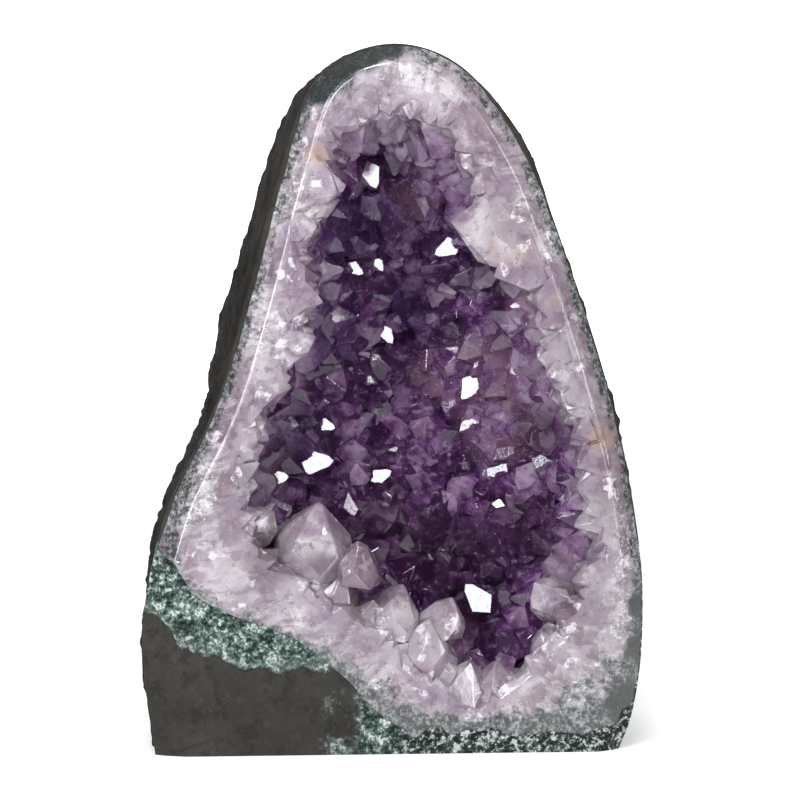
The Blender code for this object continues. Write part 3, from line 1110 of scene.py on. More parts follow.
stations = sorted((around_and_out(p)[0], i) for i, p in enumerate(hollow_line))
station_at = [s for s, _ in stations]
hollow_reach = [around_and_out(hollow_line[i])[1] for _, i in stations]
quartz_reach = [around_and_out(quartz_edge[i])[1] for _, i in stations]
print("length round the rim:", round(station_at[-1] - station_at[0], 3), "m")

# %% Write the rim's attributes and map
WRAP_LENGTH = 0.1
MAP_SCALE = 10.0


def mark_rim(piece, with_map):
    spots = [around_and_out(Vector((v.co.x, v.co.z))) for v in piece.data.vertices]
    lengths = numpy.array([s for s, _ in spots])
    reaches = numpy.array([r for _, r in spots])
    inner = numpy.interp(lengths, station_at, hollow_reach)
    outer = numpy.interp(lengths, station_at, quartz_reach)
    across = (outer - reaches) / numpy.maximum(outer - inner, 1e-4)
    place = piece.data.attributes.new("across", "FLOAT", "POINT")
    place.data.foreach_set("value", across.astype(numpy.float32))
    inward = piece.data.attributes.new("inward", "FLOAT", "POINT")
    inward.data.foreach_set("value", (inner - reaches).astype(numpy.float32))
    if not with_map:
        return
    depths = numpy.array([v.co.y - FACE_Y for v in piece.data.vertices])
    corners = numpy.zeros(len(piece.data.loops), numpy.int32)
    piece.data.loops.foreach_get("vertex_index", corners)
    around = lengths[corners]
    for face in piece.data.polygons:
        loops = list(face.loop_indices)
        if around[loops].max() - around[loops].min() > WRAP_LENGTH:
            around[loops] = around[loops].max()
    flow = piece.data.uv_layers.new(name="rim_flow")
    both = numpy.stack([around, reaches[corners] - depths[corners]], axis=1) * MAP_SCALE
    flow.data.foreach_set("uv", both.astype(numpy.float32).ravel())


mark_rim(quartz, with_map=True)
mark_rim(amethyst, with_map=False)

# %% [markdown]
# ## Painting with expressions
# A material is easier to read as a formula than as a web of nodes. A wire stands for one output of a
# node, and adding or multiplying wires adds the Math node that does it. A look is a material that such
# wires feed.

# %% Wires
class Wire:
    """An output of a shader node that takes part in Python arithmetic."""

    def __init__(self, look, socket):
        self.look = look
        self.socket = socket

    def math(self, operation, *values):
        return self.look.node("Math", {"operation": operation}, dict(enumerate((self,) + values)))

    def __add__(self, other):
        return self.math("ADD", other)

    __radd__ = __add__

    def __mul__(self, other):
        return self.math("MULTIPLY", other)

    __rmul__ = __mul__

    def __sub__(self, other):
        return self.math("SUBTRACT", other)

    def __rsub__(self, other):
        return (self * -1.0) + other

    def ramp(self, low, high):
        """0 below low, 1 above high, and smooth between them."""
        return self.look.node("MapRange", {"interpolation_type": "SMOOTHSTEP"},
                              {"Value": self, "From Min": low, "From Max": high})


# %% Looks
class Look:
    """A material whose Principled shader is fed by wires."""

    def __init__(self, name):
        self.material = bpy.data.materials.new(name)
        self.material.use_nodes = True
        self.tree = self.material.node_tree
        self.shader = self.tree.nodes["Principled BSDF"]
        self.output = self.tree.nodes["Material Output"]

    def node(self, kind, settings=None, inputs=None, output=0):
        made = self.tree.nodes.new("ShaderNode" + kind)
        for name, value in (settings or {}).items():
            if name == "stops":
                self.set_stops(made.color_ramp, value)
            else:
                setattr(made, name, value)
        for name, value in (inputs or {}).items():
            self.plug(made.inputs[name], value)
        return Wire(self, made.outputs[output])

    def set_stops(self, ramp, stops):
        while len(ramp.elements) < len(stops):
            ramp.elements.new(0.5)
        for element, (place, colour) in zip(ramp.elements, stops):
            element.position = place
            element.color = (*colour, 1.0)

    def plug(self, socket, value):
        if isinstance(value, Wire):
            self.tree.links.new(value.socket, socket)
        elif isinstance(value, tuple) and len(value) == 3 and socket.type == "RGBA":
            socket.default_value = (*value, 1.0)
        else:
            socket.default_value = value

    def shade(self, **values):
        for name, value in values.items():
            self.plug(self.shader.inputs[name.replace("_", " ")], value)

    def place(self):
        return self.node("TexCoord", output="Object")

    def noise(self, vector, scale, detail=4.0, roughness=0.55, output=0):
        return self.node("TexNoise", None, {"Vector": vector, "Scale": scale, "Detail": detail,
                                            "Roughness": roughness}, output)

    def cells(self, vector, scale, **settings):
        """The chance colour of each cell of a cellular pattern."""
        return self.node("TexVoronoi", settings, {"Vector": vector, "Scale": scale}, "Color")

    def blend(self, factor, low, high):
        return self.node("Mix", {"data_type": "RGBA"}, {0: factor, 6: low, 7: high}, 2)

    def part(self, vector, axis):
        return self.node("SeparateXYZ", None, {0: vector}, axis)

    def channel(self, colour, index):
        return self.node("SeparateColor", None, {0: colour}, index)

    def vector_math(self, operation, *values):
        return self.node("VectorMath", {"operation": operation}, dict(enumerate(values)))

    def attribute(self, name, output="Fac"):
        return self.node("Attribute", {"attribute_name": name}, None, output)

    def bump(self, height, strength, distance):
        return self.node("Bump", None, {"Height": height, "Strength": strength, "Distance": distance})


# %% [markdown]
# ## Finish of the basalt
# Most of the stone is raw basalt, nearly black and dull, with a brown cast and fine paler flecks. Its
# front was ground but not brought to a shine, so the foot there is smoother and a little paler. Each
# could be a piece of its own, but the stone is one skin, so one material mixes them by place, and noise
# keeps the tones from being even.

# %% Raw and ground basalt
RAW_BLACK = (0.0070, 0.0058, 0.0048)
RAW_BROWN = (0.0240, 0.0200, 0.0165)
RAW_FLECK = (0.062, 0.055, 0.047)
RAW_SCUFF = (0.020, 0.024, 0.022)
GROUND_DARK = (0.0250, 0.0228, 0.0198)
GROUND_PALE = (0.0400, 0.0360, 0.0310)
GROUND_SCUFF = (0.013, 0.012, 0.0105)
GROUND_FLECK = (0.065, 0.058, 0.050)
FRONT_STARTS = FACE_Y + 0.007
FRONT_ENDS = FACE_Y + 0.010

basalt_look = Look("basalt")
spot = basalt_look.place()
x, y, z = (basalt_look.part(spot, axis) for axis in range(3))
grain = basalt_look.noise(spot, 420.0, 3.0, 0.65)
cloud = basalt_look.noise(spot, 32.0, 5.0, 0.6)
scuffs = basalt_look.noise(spot, 130.0, 4.0, 0.7)
raw = basalt_look.blend(cloud.ramp(0.35, 0.7), RAW_BLACK, RAW_BROWN)
raw = basalt_look.blend(grain.ramp(0.50, 0.72) * 0.30, raw, RAW_FLECK)
raw = basalt_look.blend(scuffs.ramp(0.58, 0.70) * 0.6, raw, RAW_SCUFF)
ground = basalt_look.blend(cloud.ramp(0.3, 0.7), GROUND_DARK, GROUND_PALE)
ground = basalt_look.blend(scuffs.ramp(0.48, 0.64) * 0.6, ground, GROUND_SCUFF)
ground = basalt_look.blend(grain.ramp(0.55, 0.70) * 0.35, ground, GROUND_FLECK)
on_front = 1.0 - y.ramp(FRONT_STARTS, FRONT_ENDS)
body = basalt_look.blend(on_front, raw, ground)

# %% [markdown]
# ## Celadonite
# Between the basalt and the quartz lies celadonite, a crumbly green crust with white and dark grains. On
# the front it makes a band over the foot, runs out to the right under the quartz, and turns grey there.
# It could be a thin piece laid on the basalt, but it is only a stain in the stone's surface, so formulas
# of x and z say where it shows. Noise pushes those limits about, which makes its border as ragged as the
# real one.

# %% Where the celadonite shows
wobble = (basalt_look.noise(spot, 90.0, 4.0, 0.6) - 0.5) * 0.012
left = x * -1.0
foot_top = left.ramp(0.060, 0.090) * 0.008 + left.ramp(0.092, 0.102) * 0.015 + 0.0365 + wobble
green = (z - foot_top).ramp(-0.0006, 0.0012) * on_front * (1.0 - (z + wobble).ramp(0.086, 0.092))
patch = (basalt_look.noise(spot, 60.0, 3.0) + (1.0 - z.ramp(0.003, 0.012)) * 0.12).ramp(0.50, 0.60)
patch = patch * x.ramp(-0.036, -0.022) * on_front * (1.0 - z.ramp(0.018, 0.030))
foot_end = (x + wobble * 1.2).ramp(-0.020, -0.015) * on_front * (1.0 - z.ramp(0.030, 0.040))
mixed = green.math("MAXIMUM", foot_end).math("MAXIMUM", patch)

# %% Grains of the celadonite
GRAIN_STOPS = [
    (0.0, (0.008, 0.011, 0.010)), (0.34, (0.030, 0.048, 0.042)), (0.58, (0.085, 0.128, 0.110)),
    (0.80, (0.21, 0.255, 0.23)), (1.0, (0.52, 0.55, 0.53)),
]
PALE_BORDER = (0.22, 0.24, 0.21)
GREY_BED_DARK = (0.010, 0.012, 0.011)
GREY_BED_PALE = (0.48, 0.50, 0.49)

crumb = basalt_look.part(basalt_look.cells(spot, 800.0), 0)
clot = basalt_look.noise(spot, 170.0, 4.0, 0.7)
crust = basalt_look.noise(spot, 420.0, 3.0, 0.75)
grain_tone = crumb * 0.40 + (clot - 0.5) * 1.7 + (crust - 0.5) * 2.8 + 0.34
celadonite = basalt_look.node("ValToRGB", {"stops": GRAIN_STOPS}, {"Fac": grain_tone})
above_foot = (z - foot_top).ramp(0.0, 0.006)
celadonite = basalt_look.blend((1.0 - above_foot) * green * 0.30, celadonite, PALE_BORDER)
grey_bed = basalt_look.blend((crust + crumb * 0.25).ramp(0.62, 0.80), GREY_BED_DARK, GREY_BED_PALE)
celadonite = basalt_look.blend(x.ramp(-0.012, 0.010) * 0.75, celadonite, grey_bed)
body = basalt_look.blend(mixed, body, celadonite)

# %% Surface of the basalt
BASALT_ROUGHNESS = 0.86
SMOOTHER_IN_FRONT = 0.26

relief = grain * 0.6 + scuffs * 1.6 + crust * mixed * 2.4 + basalt_look.noise(spot, 1400.0, 1.0) * 0.4
relief = relief * (1.0 - on_front * (1.0 - mixed) * 0.8)
basalt_look.shade(Base_Color=body, IOR=1.4, Specular_IOR_Level=0.12,
                  Roughness=BASALT_ROUGHNESS - on_front * SMOOTHER_IN_FRONT + (grain - 0.5) * 0.3,
                  Normal=basalt_look.bump(relief, 0.8, 0.0012))

# %% [markdown]
# ## Finish of the rim's quartz
# The rim is polished quartz: milky in places, lilac toward the hollow, and full of cracks, veils and
# grains. Real quartz lets light in and scatters it, but that renders slowly and shows little here, so the
# quartz is opaque under a thin glossy coat, and its depth is painted. A few marks of this stone stand at
# known places, and so do stretches of painted light and painted shade. Each list below holds such places,
# and a round soft patch at each of them strengthens one of the tones.

# %% Places of the rim's marks, and of its painted light and shade
MILKY_PATCHES = [
    # x, z and radius in millimetres, here and in the lists that follow
    (-73, 80, 17), (10, 52, 18), (46, 222, 20), (70, 42, 12), (-54, 158, 9), (12, 284, 18), (46, 30, 12),
    (-40, 68, 12), (-62, 140, 9), (74, 118, 10),
]
DARK_PATCHES = [
    (-26, 288, 10), (-15, 296, 10), (-4, 300, 8), (-34, 280, 7), (104, 62, 8), (103, 44, 8), (97, 20, 12),
]
# places of painted light, where the milky quartz is made paler
PAINTED_LIGHT_PATCHES = [
    (12, 284, 20), (-12, 282, 14), (34, 268, 14), (-72, 82, 16), (0, 50, 16), (24, 32, 12), (56, 34, 16),
]
# places of painted shade, where the quartz is made darker
SHADY_PATCHES = [
    (88, 168, 22), (76, 202, 18), (94, 142, 18), (98, 108, 22), (98, 76, 20), (-84, 104, 14),
    (-70, 118, 12), (-54, 84, 16), (-34, 74, 14), (-14, 64, 12), (64, 228, 14), (84, 56, 14),
]
RUST_PATCHES = [(-35, 253, 7), (86, 134, 8)]
PLUM_PATCHES = [
    (-47, 84, 9), (-30, 80, 9), (-8, 70, 8), (28, 40, 9), (62, 56, 8), (-36, 236, 8), (8, 274, 9),
    (82, 90, 8),
]


def patches(look, x, z, places):
    """1 in the middle of each place on the front, falling to 0 at its radius."""
    total = None
    for x_mm, z_mm, radius in places:
        aside = (x - x_mm * MM) * (1.0 / (radius * MM))
        above = (z - z_mm * MM) * (1.0 / (radius * MM))
        near = 1.0 - (aside * aside + above * above).ramp(0.0, 1.0)
        total = near if total is None else total + near
    return total


# %% Patterns of the rim
# columns in 100 mm of the map, round the rim and out of it
COLUMNS_ROUND = 10.0
COLUMNS_OUT = 4.8

quartz_look = Look("rim_quartz")
spot = quartz_look.place()
x, y, z = (quartz_look.part(spot, axis) for axis in range(3))
growth = quartz_look.attribute("growth", "Color")
tip, tone, on_crystal = (quartz_look.channel(growth, index) for index in range(3))
on_band = 1.0 - on_crystal
across = quartz_look.attribute("across")
inner_edge = across.ramp(0.15, 1.15)
warp = quartz_look.noise(spot, 55.0, 3.0, 0.6, "Color")
rim_map = quartz_look.node("UVMap", {"uv_map": "rim_flow"})
flow = quartz_look.vector_math("MULTIPLY_ADD", warp, (0.09, 0.11, 0.0), rim_map)
flow = quartz_look.vector_math("MULTIPLY", flow, (COLUMNS_ROUND, COLUMNS_OUT, 1.0))
seams = quartz_look.node("TexVoronoi", {"voronoi_dimensions": "2D", "feature": "DISTANCE_TO_EDGE"},
                         {"Vector": flow, "Scale": 1.0})
column_tone = quartz_look.part(quartz_look.cells(flow, 1.0, voronoi_dimensions="2D"), 0)
chance = column_tone * on_band + tone * on_crystal
milk = quartz_look.noise(spot, 75.0, 4.0, 0.62)
veil = quartz_look.noise(spot, 230.0, 4.0, 0.74)
haze = quartz_look.noise(spot, 30.0, 3.0, 0.5)

# %% Lilac, plum and milk
HAZY_LILAC = (0.405, 0.370, 0.400)
HAZY_GREY = (0.320, 0.312, 0.310)
LILAC = (0.185, 0.130, 0.200)
SEAM_TONE = (0.150, 0.115, 0.160)
PLUM = (0.075, 0.038, 0.068)
MILK_WHITE = (0.62, 0.59, 0.59)
VEIL_PALE = (0.60, 0.565, 0.60)
VEIL_DARK = (0.070, 0.042, 0.068)
CLEAR_TIP = (0.170, 0.118, 0.185)

body = quartz_look.blend(haze.ramp(0.40, 0.65), HAZY_LILAC, HAZY_GREY)
lilac = (inner_edge * 0.40 + chance * 0.60 + (milk - 0.5) * 1.2).ramp(0.30, 1.05)
body = quartz_look.blend(lilac, body, LILAC)
body = quartz_look.blend(seams.ramp(0.03, 0.26) * on_band * 0.35, body, SEAM_TONE)
plum = (milk - 0.5) * -2.2 + column_tone * 0.45 + inner_edge * 0.24
plum = (plum + patches(quartz_look, x, z, PLUM_PATCHES) * 0.40).ramp(0.30, 0.70)
body = quartz_look.blend(plum * 0.85, body, PLUM)
milky = haze - (milk - 0.5) * 0.7 + chance * 0.12 + patches(quartz_look, x, z, MILKY_PATCHES) * 0.16
body = quartz_look.blend(milky.ramp(0.52, 0.68) * 0.80, body, MILK_WHITE)
body = quartz_look.blend(veil.ramp(0.52, 0.66) * 0.60, body, VEIL_PALE)
body = quartz_look.blend((1.0 - veil.ramp(0.34, 0.46)) * 0.75, body, VEIL_DARK)
clear_tip = on_crystal * (tip + (milk - 0.5) * 1.2).ramp(0.35, 0.95)
body = quartz_look.blend(clear_tip * 0.60, body, CLEAR_TIP)

# %% Borders of the columns, threads and flaws
BORDER_TONE = (0.120, 0.090, 0.128)
CRACK_WHITE = (0.80, 0.77, 0.81)
THREAD_PALE = (0.66, 0.625, 0.66)
THREAD_DARK = (0.085, 0.055, 0.090)
FLAW_PALE = (0.66, 0.61, 0.65)
FLAW_DARK = (0.080, 0.047, 0.078)
FLAWS_PER_METRE = 190.0

border = (1.0 - seams.ramp(0.01, 0.13)) * on_band
body = quartz_look.blend(border * (inner_edge * 0.35 + 0.15), body, BORDER_TONE)
crack = (1.0 - seams.ramp(0.0, 0.028)) * milk.ramp(0.46, 0.60) * on_band
body = quartz_look.blend(crack * 0.65, body, CRACK_WHITE)
thread = quartz_look.vector_math("MULTIPLY", flow, (1.3, 0.50, 1.0))
fibres = quartz_look.noise(thread, 2.2, 4.0, 0.70)
body = quartz_look.blend(fibres.ramp(0.53, 0.64) * on_band * 0.45, body, THREAD_PALE)
body = quartz_look.blend((1.0 - fibres.ramp(0.37, 0.47)) * on_band * 0.65, body, THREAD_DARK)
bent = quartz_look.vector_math("MULTIPLY_ADD", warp, (0.004, 0.004, 0.004), spot)
flaws = quartz_look.cells(bent, FLAWS_PER_METRE)
flaw, glint = (quartz_look.part(flaws, axis) for axis in range(2))
flaw_share = 1.0 - on_crystal * 0.6
body = quartz_look.blend(flaw.ramp(0.60, 0.90) * flaw_share * 0.26, body, FLAW_PALE)
body = quartz_look.blend((1.0 - flaw.ramp(0.10, 0.40)) * flaw_share * 0.36, body, FLAW_DARK)

# %% Painted light and shade, grains, tint and painted glints
PAINTED_LIGHT_TONE = (0.66, 0.61, 0.65)
SHADY_TONE = (0.096, 0.084, 0.096)
ROOT_PLUM_SHADE_TONE = (0.085, 0.045, 0.075)
SPECK_PALE = (0.78, 0.78, 0.80)
SPECK_DARK = (0.075, 0.07, 0.08)
PINK_TINT = (0.135, 0.084, 0.104)
PAINTED_GLINT_WHITE = (0.88, 0.85, 0.90)

# Painted light: at the listed places the milky quartz is made paler.
painted_light = patches(quartz_look, x, z, PAINTED_LIGHT_PATCHES) * milk.ramp(0.38, 0.56) * flaw_share
body = quartz_look.blend(painted_light * 0.55, body, PAINTED_LIGHT_TONE)
# Painted shade: at the listed shady places the quartz is made darker.
shady = patches(quartz_look, x, z, SHADY_PATCHES) * (1.0 - milk.ramp(0.42, 0.62))
body = quartz_look.blend(shady.math("MINIMUM", 1.0) * 0.72, body, SHADY_TONE)
# Plum at the roots of the rim's crystals, darkened further as painted shade in the crevices between them.
root_plum_and_shade = on_crystal * (1.0 - (tip + (milk - 0.5) * 0.8).ramp(0.05, 0.55))
body = quartz_look.blend(root_plum_and_shade * 0.55, body, ROOT_PLUM_SHADE_TONE)
speck = quartz_look.noise(spot, 700.0, 2.0, 0.7)
granular = haze.ramp(0.45, 0.62) * (1.0 - across.ramp(0.3, 0.9)) * 0.7
body = quartz_look.blend(speck.ramp(0.56, 0.66) * granular, body, SPECK_PALE)
body = quartz_look.blend((1.0 - speck.ramp(0.36, 0.46)) * granular, body, SPECK_DARK)
body = quartz_look.blend(0.32 + (1.0 - haze.ramp(0.42, 0.60)) * 0.20, body, PINK_TINT)
# Painted highlights: tiny white glints where the cells of the flaws peak, inside the veils.
body = quartz_look.blend(glint.ramp(0.90, 0.94) * veil.ramp(0.46, 0.58) * 0.40, body, PAINTED_GLINT_WHITE)

# %% [markdown]
# ## Grime, rust, painted shade and gloss
# Where the quartz meets the basalt, its outermost grains are mixed with dark green ones, most of all at
# the foot, and rust stains a few spots. Down in the hollow the band is only seen between crystals, so it
# turns deep purple, is darkened further as painted shade, and loses its coat. The stains could be decals,
# but noise along the border is as ragged as the real one. They are painted last, because they lie over all
# the other tones.

# %% Stains of the rim
GRIME_DARK = (0.014, 0.018, 0.017)
GRIME_PALE = (0.20, 0.22, 0.21)
DARKEST = (0.010, 0.013, 0.012)
RUST = (0.30, 0.20, 0.13)
DEEP_PURPLE_AND_SHADE = (0.035, 0.012, 0.045)

low = 1.0 - z.ramp(0.020, 0.066)
grime = quartz_look.noise(spot, 120.0, 5.0, 0.75) + (1.0 - across.ramp(0.0, 0.26)) * 0.20
dark = patches(quartz_look, x, z, DARK_PATCHES)
grime = grime + low * (1.0 - across.ramp(0.1, 0.9)) * 0.26 + dark * 0.34
green_grime = quartz_look.blend((speck + (veil - 0.5)).ramp(0.40, 0.74), GRIME_DARK, GRIME_PALE)
body = quartz_look.blend(grime.ramp(0.58, 0.74) * 0.9, body, green_grime)
darkest = dark * 1.3 * veil.ramp(0.30, 0.46)
body = quartz_look.blend(darkest.math("MINIMUM", 1.0) * 0.88, body, DARKEST)
rust = quartz_look.noise(spot, 45.0, 4.0, 0.6).ramp(0.60, 0.72) * across.ramp(0.3, 0.8) * 0.35
rust = rust + patches(quartz_look, x, z, RUST_PATCHES) * milk.ramp(0.35, 0.55) * 0.6
body = quartz_look.blend(rust, body, RUST)
# Painted shade: the band deep in the hollow, seen only between crystals, turns deep purple and dark.
deep = y.ramp(FACE_Y + 0.010, FACE_Y + 0.028) * on_band
body = quartz_look.blend(deep, body, DEEP_PURPLE_AND_SHADE)

# %% Surface of the rim
QUARTZ_IOR = 1.544
QUARTZ_ROUGHNESS = 0.13
COAT_ON_BAND = 0.75
COAT_LOST_ON_CRYSTALS = 0.35

coat = (1.0 - deep) * (COAT_ON_BAND - on_crystal * COAT_LOST_ON_CRYSTALS)
quartz_look.shade(Base_Color=body, Roughness=QUARTZ_ROUGHNESS + veil * 0.14 + deep * 0.5, IOR=QUARTZ_IOR,
                  Coat_Weight=coat, Coat_Roughness=0.02,
                  Normal=quartz_look.bump(veil * 0.8 + milk + flaw * 0.4, 0.34, 0.0013))

# %% [markdown]
# ## Finish of the amethyst
# Amethyst is clear quartz with a purple that deepens toward the points and changes from one crystal to
# the next. Fully clear crystals would need many bounces of light, and fully opaque ones look like
# plastic, so half of the light goes in. The volume behind the faces then takes the green out of it, the
# more the longer its way, as in the real stone. Patches over the front make the left of the hollow
# cooler, the right warmer, and the foot dusky.

# %% Places of the hollow's tones
COOL_PATCHES = [(-20, 224, 26), (-30, 180, 24), (-40, 130, 22), (10, 190, 14)]
WARM_PATCHES = [(42, 160, 24), (50, 136, 22), (22, 158, 16), (12, 236, 14), (60, 190, 12)]
DUSKY_PATCHES = [
    (0, 92, 26), (30, 78, 24), (66, 136, 14), (46, 206, 14), (60, 92, 20), (34, 52, 16), (-48, 120, 14),
]

# %% Colour of the amethyst
VIOLET_STOPS = [
    (0.0, (0.54, 0.39, 0.54)), (0.28, (0.36, 0.19, 0.38)), (0.62, (0.175, 0.058, 0.205)),
    (1.0, (0.060, 0.014, 0.075)),
]
AMETHYST_VEIL = (0.58, 0.44, 0.60)
AMETHYST_SHADE = (0.050, 0.015, 0.065)
COOL_TONE = (0.085, 0.045, 0.150)
WARM_TONE = (0.42, 0.22, 0.33)
DUSKY_TONE = (0.040, 0.012, 0.030)
PAINTED_SPARKLE_WHITE = (0.90, 0.84, 0.92)

amethyst_look = Look("amethyst_crystal")
spot = amethyst_look.place()
x, z = (amethyst_look.part(spot, axis) for axis in (0, 2))
tone = amethyst_look.channel(amethyst_look.attribute("growth", "Color"), 1)
inward = amethyst_look.attribute("inward")
cloud = amethyst_look.noise(spot, 70.0, 4.0, 0.6)
veil = amethyst_look.noise(spot, 240.0, 4.0, 0.74)
speck = amethyst_look.noise(spot, 800.0, 2.0, 0.7)
violet = inward.ramp(0.010, 0.030) * 0.40 + tone * 0.70 + (cloud - 0.5) * 2.0
violet = (violet + (1.0 - z.ramp(0.060, 0.115)) * 0.22).ramp(0.15, 1.02)
body = amethyst_look.node("ValToRGB", {"stops": VIOLET_STOPS}, {"Fac": violet})
body = amethyst_look.blend(veil.ramp(0.50, 0.72) * 0.50, body, AMETHYST_VEIL)
body = amethyst_look.blend((1.0 - veil.ramp(0.32, 0.48)) * 0.60, body, AMETHYST_SHADE)
body = amethyst_look.blend(patches(amethyst_look, x, z, COOL_PATCHES) * 0.45, body, COOL_TONE)
warm = patches(amethyst_look, x, z, WARM_PATCHES)
warm_share = warm * (cloud + (tone - 0.5) * 0.5).ramp(0.40, 0.62) * 0.55
body = amethyst_look.blend(warm_share, body, WARM_TONE)
body = amethyst_look.blend(patches(amethyst_look, x, z, DUSKY_PATCHES) * 0.60, body, DUSKY_TONE)
# Painted highlights: tiny white sparkles, more of them in the warm patches.
body = amethyst_look.blend(speck.ramp(0.64, 0.70) * (0.12 + warm * 0.50), body, PAINTED_SPARKLE_WHITE)

# %% Surface and inside of the amethyst
AMETHYST_ROUGHNESS = 0.03
CLEARNESS = 0.50
INSIDE_TINT = (0.62, 0.28, 0.70)
INSIDE_DENSITY = 32.0

amethyst_look.shade(Base_Color=body, Roughness=AMETHYST_ROUGHNESS + veil * 0.05, IOR=QUARTZ_IOR,
                    Transmission_Weight=CLEARNESS, Normal=amethyst_look.bump(veil, 0.16, 0.0007))
inside_values = {"Color": INSIDE_TINT, "Density": INSIDE_DENSITY}
inside = amethyst_look.node("VolumeAbsorption", None, inside_values, "Volume")
amethyst_look.plug(amethyst_look.output.inputs["Volume"], inside)

# %% [markdown]
# ## Finish the pieces
# Each piece gets its finish and moves onto the frame's origin. The basalt and the quartz are smooth
# except where faces meet at a sharp angle, and the amethyst stays flat, because crystal faces are flat.
# All three ride on the one body of the stone, since nothing on it moves, and each takes the place of its
# CAD node.

# %% Finish the pieces
BASALT_SMOOTH_ANGLE = 50
QUARTZ_SMOOTH_ANGLE = 20


def finish(piece, look, node, smooth_angle):
    piece.data.materials.clear()
    piece.data.materials.append(look.material)
    piece.data.transform(Matrix.Translation(ORIGIN_SHIFT))
    only(piece)
    if smooth_angle:
        bpy.ops.object.shade_smooth_by_angle(angle=math.radians(smooth_angle))
    else:
        bpy.ops.object.shade_flat()
    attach(piece, "root")
    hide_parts(node)
    print(f"{piece.name}: finish {look.material.name} of {len(look.tree.nodes)} nodes")


finish(basalt, basalt_look, "basalt_shell", BASALT_SMOOTH_ANGLE)
finish(quartz, quartz_look, "quartz_band", QUARTZ_SMOOTH_ANGLE)
finish(amethyst, amethyst_look, "amethyst_crust", 0)

# %% [markdown]
# ## Stage
# The stone stands on a white sheet before a white wall. Both glow, so that they stay white without strong
# lamps, which would wash out the colours. The room around is dim, and darkest toward the floor, so the
# faces of the crystals mirror little of it and show their deep colour.

# %% Stage
STAGE_SIZE = 8.0
BACKDROP_PLACE = (0, 3.2, 2.0)
FLOOR_WHITE = (0.92, 0.92, 0.92)
BACKDROP_WHITE = (1.0, 1.0, 1.0)
ROOM_TINT = (0.97, 0.98, 1.0)
ROOM_STOPS = [(0.0, 0.10), (1.0, 0.42)]


def plain_look(name, colour, roughness, glow):
    look = Look(name)
    look.shade(Base_Color=colour, Roughness=roughness, Emission_Color=colour, Emission_Strength=glow)
    return look.material


def stage_plane(name, place, tilt, material):
    bpy.ops.object.select_all(action="DESELECT")
    bpy.ops.mesh.primitive_plane_add(size=STAGE_SIZE, location=place, rotation=(tilt, 0, 0))
    plane = bpy.context.object
    plane.name = name
    plane.data.materials.append(material)
    print(f"{name}: {STAGE_SIZE} m square")
    return plane


floor_white = plain_look("floor_white", FLOOR_WHITE, 0.8, 0.30)
backdrop_white = plain_look("backdrop_white", BACKDROP_WHITE, 1.0, 1.0)
floor = stage_plane("floor", (0, 0, 0), 0.0, floor_white)
backdrop = stage_plane("backdrop", BACKDROP_PLACE, math.pi / 2, backdrop_white)

# %% Room
world = bpy.data.worlds.new("studio")
world.use_nodes = True
sky = world.node_tree.nodes.new("ShaderNodeTexCoord")
split = world.node_tree.nodes.new("ShaderNodeSeparateXYZ")
fade = world.node_tree.nodes.new("ShaderNodeValToRGB")
for stop, (place, grey) in zip(fade.color_ramp.elements, ROOM_STOPS):
    stop.position = place
    stop.color = (*(grey * share for share in ROOM_TINT), 1.0)
world.node_tree.links.new(sky.outputs["Generated"], split.inputs[0])
world.node_tree.links.new(split.outputs[2], fade.inputs[0])
world.node_tree.links.new(fade.outputs[0], world.node_tree.nodes["Background"].inputs["Color"])
bpy.context.scene.world = world
print("room:", world.name, "from", ROOM_STOPS[0][1], "to", ROOM_STOPS[1][1])

# %% [markdown]
# ## Lamps
# Two tall lamps stand beside the camera, and the rounded crease of the chamfer mirrors them as a thin
# white line. The front lamp is the one that the flashing faces mirror, and the top lamp lights the
# ledges. The small lamps put sparks on other crystals. All but the tall lamps are round or oval, so that
# no square shows in a polished face.

# %% Lamps
AIM = Vector((0.0, -0.05, 0.15))
TALL = 2
COOL_WHITE = (0.92, 0.96, 1.0)
SMALL_LAMP_PLACES = [(0.42, -1.30, 0.86), (-0.62, -1.10, 1.02), (0.56, -1.30, 0.16), (-0.45, -1.34, 0.22)]


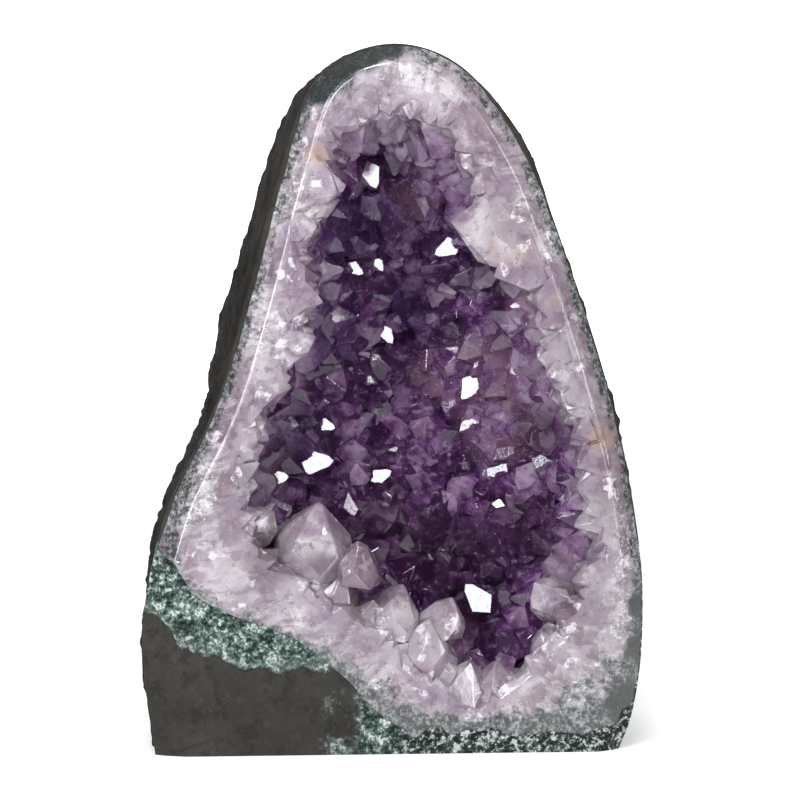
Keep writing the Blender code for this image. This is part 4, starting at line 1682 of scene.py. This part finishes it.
def softbox(name, place, width, height, power, colour=(1.0, 1.0, 1.0)):
    bpy.ops.object.light_add(type="AREA", location=place)
    lamp = bpy.context.object
    lamp.name = name
    lamp.data.shape = "RECTANGLE" if height > TALL * width else "ELLIPSE"
    lamp.data.size = width
    lamp.data.size_y = height
    lamp.data.energy = power
    lamp.data.color = colour
    lamp.rotation_euler = (AIM - place).to_track_quat("-Z", "Y").to_euler()
    print(f"{name}: {power} W")


softbox("left_lamp", Vector((-0.93, -1.16, 0.50)), 0.20, 0.85, 11.5, (0.93, 0.96, 1.0))
softbox("front_lamp", FRONT_LAMP, 0.32, 0.26, 5.0, (0.90, 0.95, 1.0))
softbox("right_lamp", Vector((0.90, -1.19, 0.36)), 0.12, 1.00, 6.5)
softbox("top_lamp", Vector((-0.15, -0.98, 1.30)), 0.32, 0.28, 9.0, (0.97, 0.98, 1.0))
for index, place in enumerate(SMALL_LAMP_PLACES):
    softbox(f"small_lamp_{index}", Vector(place), 0.10, 0.10, 0.9, COOL_WHITE)

# %% [markdown]
# ## Camera
# The photo was taken nearly from the front, a little from the left and from above, with a long lens that
# keeps the sides almost parallel. The distance follows from how many millimetres of the stone one pixel
# covers.

# %% Camera
VIEW_AZIMUTH = math.radians(-4.0)
VIEW_ELEVATION = math.radians(2.0)
LENS = 110.0
SENSOR = 36.0
MIDDLE = Vector((0.0, FACE_Y, 0.1505))
MM_PER_PIXEL = 0.4225
PHOTO_SIDE = 800

view_distance = PHOTO_SIDE * MM_PER_PIXEL * MM * LENS / SENSOR
bpy.ops.object.camera_add()
camera = bpy.context.object
camera.data.lens = LENS
camera.data.sensor_width = SENSOR
toward = Vector((math.sin(VIEW_AZIMUTH) * math.cos(VIEW_ELEVATION),
                 -math.cos(VIEW_AZIMUTH) * math.cos(VIEW_ELEVATION), math.sin(VIEW_ELEVATION)))
camera.location = MIDDLE + toward * view_distance
camera.rotation_euler = (-toward).to_track_quat("-Z", "Y").to_euler()
bpy.context.scene.camera = camera
bpy.context.scene.view_settings.view_transform = "Standard"
print("camera:", [round(v, 3) for v in camera.location], "for an eye taken at", [round(v, 3) for v in EYE])
